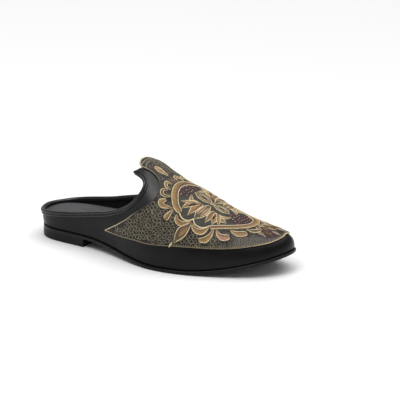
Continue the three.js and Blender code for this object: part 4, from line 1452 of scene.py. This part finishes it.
def round_off(spine, halves, rounding=6):
    """Adds a round end past both ends of a spine, as wide as the end is."""
    turns = np.linspace(0, math.pi / 2, rounding + 1)[1:]
    first = unit(spine[0] - spine[1])
    last = unit(spine[-1] - spine[-2])
    before = spine[0] + first * halves[0] * np.sin(turns[::-1])[:, None]
    after = spine[-1] + last * halves[-1] * np.sin(turns)[:, None]
    thin = np.maximum(np.cos(turns), 0.06)
    halves = np.concatenate([halves[0] * thin[::-1], halves, halves[-1] * thin])
    return np.concatenate([before, spine, after]), halves


def leaf_line(leaf):
    """The spine of a leaf and its half widths, cut finely and rounded off."""
    spine = np.array(leaf.spine)
    halves = np.array(leaf.halves)
    if leaf.kind == "arch":
        spine = np.concatenate([spine, spine[-2::-1] * [1, -1]])
        halves = np.concatenate([halves, halves[-2::-1]])
    span = np.linalg.norm(np.diff(spine, axis=0), axis=1).sum()
    where = np.linspace(0, len(spine) - 1, max(10, int(span / 1.0)))
    fine = catmull_rom(spine, where)
    widths = catmull_rom(halves[:, None], where)[:, 0]
    return round_off(fine, np.maximum(widths, 0.15))


LEAF_COLUMNS = 11
RIM_FACES = (0, 1, 2, 7, 8, 9, 10)
LEAF_SHADING = (0, 0, 0, 0.0, 0.0, 0.12, 0.55, 0.85, 0, 0, 0)
MEDALLION_CENTRE = (212.0, 0.0)


def leaf_shape(leaf, rim_width, relief):
    """A leaf as flat x and d with a height over the panel: a raised rim round a domed filling,
    shaded on the side and at the end that lie towards the medallion's centre."""
    spine, halves = leaf_line(leaf)
    along = unit(np.gradient(spine, axis=0))
    across = np.column_stack([-along[:, 1], along[:, 0]])
    rim = np.minimum(rim_width, 0.42 * halves)
    inner = halves - rim
    offsets = np.column_stack([
        -halves, -halves + 0.2 * rim, -halves + 0.7 * rim, -inner, -inner / 2, 0 * halves,
        inner / 2, inner, halves - 0.7 * rim, halves - 0.2 * rim, halves,
    ])
    raised = relief * np.minimum(1, halves / 1.2)
    profile = np.array([0, 0.8, 1.0, 0.45, 0.72, 0.8, 0.72, 0.45, 1.0, 0.8, 0])
    heights = raised[:, None] * profile + 0.12 * leaf.layer
    heights[:, 0] = heights[:, -1] = -0.35
    flat = spine[:, None] + across[:, None] * offsets[..., None]
    rows = len(spine)
    index = np.arange(rows * LEAF_COLUMNS).reshape(rows, LEAF_COLUMNS)
    far = np.roll(index, -1, axis=1)
    quads = np.stack([index[:-1], far[:-1], far[1:], index[1:]], -1)
    faces = quads.reshape(-1, 4).tolist() + [index[0].tolist(), index[-1].tolist()]
    kinds = np.full((rows - 1, LEAF_COLUMNS), 1)
    kinds[:, RIM_FACES] = 0
    kinds = np.concatenate([kinds.ravel(), [0, 0]])
    inward = MEDALLION_CENTRE - spine
    towards = np.sum(across * inward, axis=1).mean()
    columns = LEAF_SHADING if towards > 0 else LEAF_SHADING[::-1]
    near_end = np.argmin(np.linalg.norm(inward, axis=1)) / rows
    base = 0.45 * np.clip(1 - 3 * np.abs(np.linspace(0, 1, rows) - near_end), 0, 1)
    shading = np.clip(np.array(columns) + base[:, None], 0, 0.9)
    return flat.reshape(-1, 2), heights.ravel(), faces, kinds, shading.ravel()


PAINTS = ("cream", "tan", "pink", "olive", "brown", "rose", "taupe")
SHADED_PAINTS = ("tan", "pink", "olive", "rose")


def make_ornament(sizes, colours):
    shapes, kinds, shading = [], [], []
    for leaf in LEAVES:
        flat, heights, leaf_faces, leaf_kinds, shades = leaf_shape(leaf, sizes.rim / MM, sizes.relief / MM)
        tones = np.array([PAINTS.index(leaf.rim), PAINTS.index(leaf.fill)])[leaf_kinds]
        for mirror in (1, -1) if leaf.kind == "pair" else (1,):
            x, d = flat[:, 0], flat[:, 1] * mirror
            place, rise = flat_to_place(x, axis_at(x) - d)
            shapes.append((leather_point(place, rise, panel_top(sizes) + heights), leaf_faces))
            kinds.extend(tones.tolist())
            shading.append(shades)
    paints = []
    for name in PAINTS:
        shadow = colours.shadow if name in SHADED_PAINTS else None
        paints.append(paint_material("ornament_" + name, getattr(colours, name), shadow=shadow))
    points, faces = join_shapes(shapes)
    mesh = make_mesh("ornament", points, faces, paints, kinds, sharp=70)
    point_attribute(mesh, "shading", "FLOAT", np.concatenate(shading))
    mend_mesh(mesh)
    finish_piece(make_object("ornament", mesh), "panel_leather")


def leaf_clearance(x, d):
    """Distance from the nearest leaf, negative on it."""
    nearest = np.full(len(x), np.inf)
    for leaf in LEAVES:
        spine, halves = leaf_line(leaf)
        away = np.hypot(x[:, None] - spine[:, 0], d[:, None] - spine[:, 1]) - halves
        nearest = np.minimum(nearest, away.min(axis=1))
    return nearest


def flat_grid(spacing, jitter, rng, low, high):
    """Points of a staggered grid over the flat panel, each moved a little."""
    x = np.arange(low[0], high[0], spacing * 0.88)
    y = np.arange(low[1], high[1], spacing)
    xs, ys = np.meshgrid(x, y, indexing="ij")
    ys = ys + spacing / 2 * (np.arange(len(x)) % 2)[:, None]
    moved = rng.uniform(-jitter, jitter, (2, *xs.shape)) * spacing
    return (xs + moved[0]).ravel(), (ys + moved[1]).ravel()


def panel_margin(place, rise):
    """Distance from the panel's open edge, in millimetres."""
    points = leather_point(place, rise, 0.0)
    lobe, back, lower = panel_border()
    half = np.concatenate([lobe, back, lower])
    margin = np.full(len(place), np.inf)
    for side in (half, other_side(half)):
        border = leather_point(side[:, 0], side[:, 1], 0.0)
        for start in range(0, len(points), 400):
            block = points[start:start + 400]
            away = np.linalg.norm(block[:, None] - border[None], axis=2).min(axis=1)
            margin[start:start + 400] = np.minimum(margin[start:start + 400], away)
    return margin


def on_panel(place, rise):
    """True where a point lies within the panel's outline."""
    station = station_of(place)
    lobe, back, lower = panel_border()
    outline = np.concatenate([lobe[:-1], back[:-1], lower, [RIDGE_END]]) * EDGE_SCALE
    spot = np.column_stack([station, rise]) * EDGE_SCALE
    return inside_distance(outline, spot[:, 0], spot[:, 1]) > 0


def turned_headings(normals, turn):
    """Directions along the surface, each turned from the level one."""
    level = unit(np.cross(normals, [0.0, 0.0, 1.0]))
    return level * np.cos(turn)[:, None] + np.cross(normals, level) * np.sin(turn)[:, None]


# Heights over the panel, a dot's own height, and how much longer than wide it is
SCROLL_LIFT = 0.06
DOT_LIFT = 0.1
DOT_HEIGHT = 0.9
DOT_STRETCH = 1.6

# Where scrolls and dots are tried, as x and g of two corners, and the seeds of their random draws
SCROLL_AREA = ((118.0, -96.0), (290.0, 90.0))
DOT_AREA = ((176.0, -20.0), (256.0, 20.0))
SCROLL_SEED = 11
DOT_SEED = 5
SPRIG_TIPS = ((267.4, 8.0), (268.8, 0.0), (275.8, 10.0), (278.2, 0.0), (272.6, 17.4))


def make_scrolls(sizes, colours):
    """Small scrolls wound close together over the panel's outer ground."""
    rng = np.random.default_rng(SCROLL_SEED)
    spacing = sizes.scroll_spacing / MM
    x, g = flat_grid(spacing, 0.15, rng, *SCROLL_AREA)
    place, rise = flat_to_place(x, g)
    d = np.abs(axis_at(x) - g)
    radius = sizes.scroll_radius / MM
    size = rng.uniform(0.78, 1.12, len(x)) * (1.08 - 0.08 * smoothstep(x, 150.0, 175.0))
    heading_turn = rng.uniform(0, 2 * math.pi, len(x))
    keep = on_panel(place, rise)
    keep &= inside_distance(FIELD, x, d) < -radius * 0.9
    keep &= inside_distance(TOE_SPRIG, x, d) < -radius
    clear = np.minimum(leaf_clearance(x, d), leaf_clearance(x, -d))
    keep &= clear > radius * 0.35
    size = np.minimum(size, (clear + 0.5) / radius) * (1 - 0.25 * smoothstep(x, 225.0, 262.0))
    keep[keep] &= panel_margin(place[keep], rise[keep]) > radius + 0.3
    place, rise, size = place[keep], rise[keep], size[keep]
    turn = heading_turn[keep]
    points = leather_point(place, rise, panel_top(sizes) + SCROLL_LIFT)
    normals = last_normal(place, rise)
    headings = turned_headings(normals, turn)
    tree = scatter_tree("Ground scrolls", ("Inner", "Outer", "Line"), scroll_shape)
    values = {"Inner": sizes.scroll_radius * 0.66, "Outer": sizes.scroll_radius, "Line": sizes.scroll_line}
    material = paint_material("scroll_taupe", colours.taupe)
    piece = scatter("ground_scrolls", (points, normals, headings, size), tree, values, material)
    finish_piece(piece, "panel_leather")


def make_dots(sizes, colours):
    """Pale beads in rows over the brown grounds, and on the tips of the toe sprig."""
    rng = np.random.default_rng(DOT_SEED)
    x, g = flat_grid(sizes.dot_spacing / MM, 0.14, rng, *DOT_AREA)
    d = np.abs(axis_at(x) - g)
    dots = np.maximum(inside_distance(BACK_DOTS, x, d), inside_distance(FRONT_DOTS, x, d))
    keep = (dots > 0.6) & (leaf_clearance(x, d) > 0.9) & (leaf_clearance(x, -d) > 0.9)
    x, g = x[keep], g[keep]
    tips = np.array(SPRIG_TIPS)
    for mirror in (1, -1):
        x = np.concatenate([x, tips[:, 0]])
        g = np.concatenate([g, axis_at(tips[:, 0]) - mirror * tips[:, 1]])
    place, rise = flat_to_place(x, g)
    normals = last_normal(place, rise)
    headings = turned_headings(normals, rng.uniform(0, math.pi, len(x)))
    points = leather_point(place, rise, panel_top(sizes) + DOT_LIFT)
    size = rng.uniform(0.6, 1.15, len(x))
    tree = scatter_tree("Dots", BEAD_SIZES, capsule_shape)
    across = 2 * sizes.dot_radius
    values = dict(zip(BEAD_SIZES, (across * DOT_STRETCH, across, DOT_HEIGHT * MM)))
    material = paint_material("dot_paint", colours.dots)
    finish_piece(scatter("dots", (points, normals, headings, size), tree, values, material), "panel_leather")


# Binding and stitches


def collar_line(steps):
    """The collar from the lateral quarter tip round the heel to the medial one."""
    half = edge_cut(COLLAR, 0, len(COLLAR) - 1, steps)
    return np.concatenate([half[::-1], other_side(half[1:])])


# The rolled tip's thickness and half width, and how fast the binding narrows towards the tip
TIP_ROLL = (1.35, 0.85)
TIP_SLOPE = 1.5


def tip_roll(cuts):
    """The rolled top edge of the facing, from the quarter tip to the panel, rounded at its ends."""
    centres, outs, ups = edge_frame(cuts, -1.0)
    share = np.linspace(-1, 1, len(cuts))
    round_end = np.sqrt(np.clip(1 - np.maximum(0, (np.abs(share) - 0.75) / 0.25) ** 2, 0.02, 1))
    turns = np.linspace(0, 2 * math.pi, 13)[:-1]
    thick, wide = TIP_ROLL
    section = np.column_stack([thick * np.sin(turns), wide * np.cos(turns)])
    return sweep(centres, outs, ups, section * round_end[:, None, None])


def tapered_binding(points):
    """The binding's profile at each point of its line, drawn to a point at the quarter tips."""
    run = running_length(points)
    from_tip = np.minimum(run, run[-1] - run)
    depth = -min(up for _, up in BINDING_PROFILE)
    narrowed = np.clip((from_tip * TIP_SLOPE + 0.3) / depth, 0, 1)[:, None]
    profile = np.repeat(np.array(BINDING_PROFILE)[None], len(points), axis=0)
    below = profile[..., 1] < 0
    profile[..., 1] = np.where(below, profile[..., 1] * narrowed, profile[..., 1] * (0.45 + 0.55 * narrowed))
    return profile


def make_binding(colours):
    points, outs, ups = edge_frame(collar_line(220), 0.0)
    strip = sweep(points, outs, ups, tapered_binding(points))
    tip = line(COLLAR[-1], BACK_EDGE[-1], 24)
    points, faces = join_shapes((strip, tip_roll(tip), tip_roll(other_side(tip))))
    leather = smooth_leather("binding_black", colours.binding, 0.27, 0.6)
    mesh = make_mesh("folded_binding", points, faces, [leather], sharp=60)
    mend_mesh(mesh)
    finish_piece(make_object("folded_binding", mesh), "binding_leather", "collar_binding")


def spaced(points, spacing, *others):
    """Points at even distances along a line, with other values carried along."""
    run = running_length(points)
    at = np.arange(spacing / 2, run[-1], spacing)
    result = []
    for values in (points, *others):
        result.append(np.column_stack([np.interp(at, run, values[:, k]) for k in range(3)]))
    return result


def sew(name, seam, spacing, size, thread, slot):
    """A row of stitches along a seam, given as its points and their normals and headings."""
    points, normals, headings = spaced(seam[0], spacing / MM, *seam[1:])
    tree = scatter_tree(name.replace("_", " ").capitalize(), BEAD_SIZES, capsule_shape)
    spots = (points, unit(normals), unit(headings), np.ones(len(points)))
    piece = scatter(name, spots, tree, dict(zip(BEAD_SIZES, size)), thread)
    finish_piece(piece, slot)


# Points of the collar's line that have no stitch, at each quarter tip
UNSEWN_TIP = 6


def make_binding_stitches(sizes, colours):
    """Dark stitches along the binding's groove."""
    line_points, outs, ups = edge_frame(collar_line(220)[UNSEWN_TIP:-UNSEWN_TIP], 0.0)
    line_points = line_points + outs * GROOVE[0] + ups * GROOVE[1]
    seam = (line_points, outs, unit(np.gradient(line_points, axis=0)))
    size = (sizes.stitch_length, sizes.stitch_width, sizes.stitch_width)
    thread = thread_material("binding_thread", colours.thread)
    sew("binding_stitches", seam, sizes.stitch_spacing, size, thread, "binding_leather")


# Where along the lower edge the pale stitches start, how far inside it they lie, and their size
OVERCAST_START = 4
OVERCAST_INSET = 1.3
OVERCAST_STITCH = (2.6, 0.6, 0.7)


def make_edge_stitches(sizes, colours):
    """Pale stitches set across the lower edge of the panel."""
    half = edge_cut(LOWER_EDGE, OVERCAST_START, len(LOWER_EDGE) - 1, 200)
    cuts = both_sides(half)
    line_points, outs, ups = edge_frame(cuts, panel_top(sizes))
    line_points = line_points - ups * OVERCAST_INSET
    size = [length * MM for length in OVERCAST_STITCH]
    thread = thread_material("edge_thread", colours.overcast)
    seam = (line_points, outs, ups)
    sew("edge_stitches", seam, sizes.overcast_spacing, size, thread, "panel_leather")


# Floor, lights and camera

CAMERA_AZIMUTH = 31.04
CAMERA_ELEVATION = 17.12
CAMERA_DISTANCE = 2400.0
FOCAL_PIXELS = 2264.6
IMAGE_WIDTH = 400
AIM_POINT = (150.0, 0.0, 30.0)
AIM_PIXEL = (166.5, 224.7)


def make_camera():
    """A long lens at the same angle, height and size in the frame as in the photograph."""
    turn, tilt = math.radians(CAMERA_AZIMUTH), math.radians(CAMERA_ELEVATION)
    back = np.array([math.sin(turn) * math.cos(tilt), -math.cos(turn) * math.cos(tilt), math.sin(tilt)])
    right = np.array([math.cos(turn), math.sin(turn), 0.0])
    up = np.cross(back, right)
    pixel = CAMERA_DISTANCE / FOCAL_PIXELS
    middle = IMAGE_WIDTH / 2
    aim = np.array(AIM_POINT) - right * (AIM_PIXEL[0] - middle) * pixel
    aim += up * (AIM_PIXEL[1] - middle) * pixel
    data = bpy.data.cameras.new("camera")
    data.sensor_width = 36.0
    data.lens = FOCAL_PIXELS * data.sensor_width / IMAGE_WIDTH
    data.clip_start = 0.05
    data.clip_end = 50.0
    camera = make_object("camera", data)
    camera.location = Vector(to_frame(aim + back * CAMERA_DISTANCE))
    camera.rotation_euler = (-Vector(back)).to_track_quat("-Z", "Y").to_euler()
    bpy.context.scene.camera = camera


def area_light(name, place, aim, size, power):
    data = bpy.data.lights.new(name, "AREA")
    data.shape = "RECTANGLE"
    data.size, data.size_y = size
    data.energy = power
    lamp = make_object(name, data)
    lamp.location = place
    lamp.rotation_euler = (Vector(aim) - Vector(place)).to_track_quat("-Z", "Y").to_euler()


def soft_sun(name, towards, angle, strength):
    data = bpy.data.lights.new(name, "SUN")
    data.angle = math.radians(angle)
    data.energy = strength
    lamp = make_object(name, data)
    lamp.rotation_euler = Vector(towards).to_track_quat("Z", "Y").to_euler()


FLOOR_HALF = 6.0
FLOOR_WHITE = (0.92, 0.92, 0.92, 1.0)
SKY_WHITE = (1.0, 1.0, 1.0, 1.0)
SKY_STRENGTH = 0.4


def make_stage():
    """A white floor, an even white sky, a broad soft sun and one lamp above the shoe."""
    half = FLOOR_HALF
    mesh = bpy.data.meshes.new("floor")
    corners = [(-half, -half, 0), (half, -half, 0), (half, half, 0), (-half, half, 0)]
    mesh.from_pydata(corners, [], [(0, 1, 2, 3)])
    material, _, shader = new_material("floor_white", 0.7)
    shader.inputs["Base Color"].default_value = FLOOR_WHITE
    mesh.materials.append(material)
    floor = make_object("floor", mesh)
    world = bpy.data.worlds.new("studio")
    world.use_nodes = True
    background = world.node_tree.nodes["Background"]
    background.inputs["Color"].default_value = SKY_WHITE
    background.inputs["Strength"].default_value = SKY_STRENGTH
    scene = bpy.context.scene
    scene.world = world
    scene.view_settings.view_transform = "Standard"
    soft_sun("overhead", towards=(0.15, 0.25, 1.0), angle=70.0, strength=1.9)
    area_light("key", place=(0.0, -0.75, 1.4), aim=(0.0, 0.0, 0.05), size=(0.9, 0.6), power=9.0)
    make_camera()


# Operators and the sidebar panel


def mule_operator(identifier, label, description, work):
    """An operator that runs one piece of the work on the scene's sizes and colours."""

    class MuleOperator(bpy.types.Operator):
        bl_idname = "mule." + identifier
        bl_label = label
        bl_options = {"REGISTER", "UNDO"}

        def execute(self, context):
            work(context.scene.mule_sizes, context.scene.mule_colours)
            return {"FINISHED"}

    MuleOperator.__doc__ = description
    MuleOperator.__name__ = "MULE_OT_" + identifier
    return MuleOperator


OPERATORS = (
    mule_operator("make_stage", "Make stage", "Sets up the floor, the lights and the camera",
                  lambda sizes, colours: make_stage()),
    mule_operator("make_outsole", "Make outsole", "Builds the thin black outsole",
                  lambda sizes, colours: make_outsole(colours)),
    mule_operator("make_heel", "Make heel", "Builds the low heel block",
                  lambda sizes, colours: make_heel(colours)),
    mule_operator("make_insole", "Make insole", "Builds the padded insole",
                  make_insole),
    mule_operator("make_upper", "Make upper", "Builds the hollow black upper with its lining",
                  make_upper),
    # The dark seam strip is painted shadow where the upper meets the sole
    mule_operator("make_seam", "Make seam", "Closes the upper to the sole with a dark seam",
                  lambda sizes, colours: make_seam(colours)),
    mule_operator("make_panel", "Make panel", "Builds the patterned panel over the vamp",
                  make_panel),
    mule_operator("make_panel_edge", "Make panel edge", "Builds the pale raw edge of the panel",
                  make_panel_edge),
    mule_operator("make_ornament", "Make ornament", "Builds the raised leaves of the panel",
                  make_ornament),
    mule_operator("make_scrolls", "Make scrolls", "Winds small scrolls over the panel's ground",
                  make_scrolls),
    mule_operator("make_dots", "Make dots", "Sets pale dots on the brown grounds",
                  make_dots),
    mule_operator("make_binding", "Make binding", "Folds the binding over the collar",
                  lambda sizes, colours: make_binding(colours)),
    mule_operator("make_binding_stitches", "Make binding stitches", "Sews the binding's groove",
                  make_binding_stitches),
    mule_operator("make_edge_stitches", "Make edge stitches", "Sews the panel's lower edge",
                  make_edge_stitches),
)


class MULE_PT_sidebar(bpy.types.Panel):
    """Steps that build the mule"""

    bl_label = "Leather mule"
    bl_space_type = "VIEW_3D"
    bl_region_type = "UI"
    bl_category = "Mule"

    def draw(self, context):
        for operator in OPERATORS:
            self.layout.operator(operator.bl_idname)


CLASSES = (MuleSizes, MuleColours, *OPERATORS, MULE_PT_sidebar)


def register():
    for item in CLASSES:
        bpy.utils.register_class(item)
    bpy.types.Scene.mule_sizes = bpy.props.PointerProperty(type=MuleSizes)
    bpy.types.Scene.mule_colours = bpy.props.PointerProperty(type=MuleColours)


def unregister():
    del bpy.types.Scene.mule_colours
    del bpy.types.Scene.mule_sizes
    for item in reversed(CLASSES):
        bpy.utils.unregister_class(item)


def main():
    register()
    for operator in OPERATORS:
        step = operator.bl_idname.split(".")[1]
        getattr(bpy.ops.mule, step)()
    bpy.context.view_layer.update()


if __name__ == "__main__":
    main()
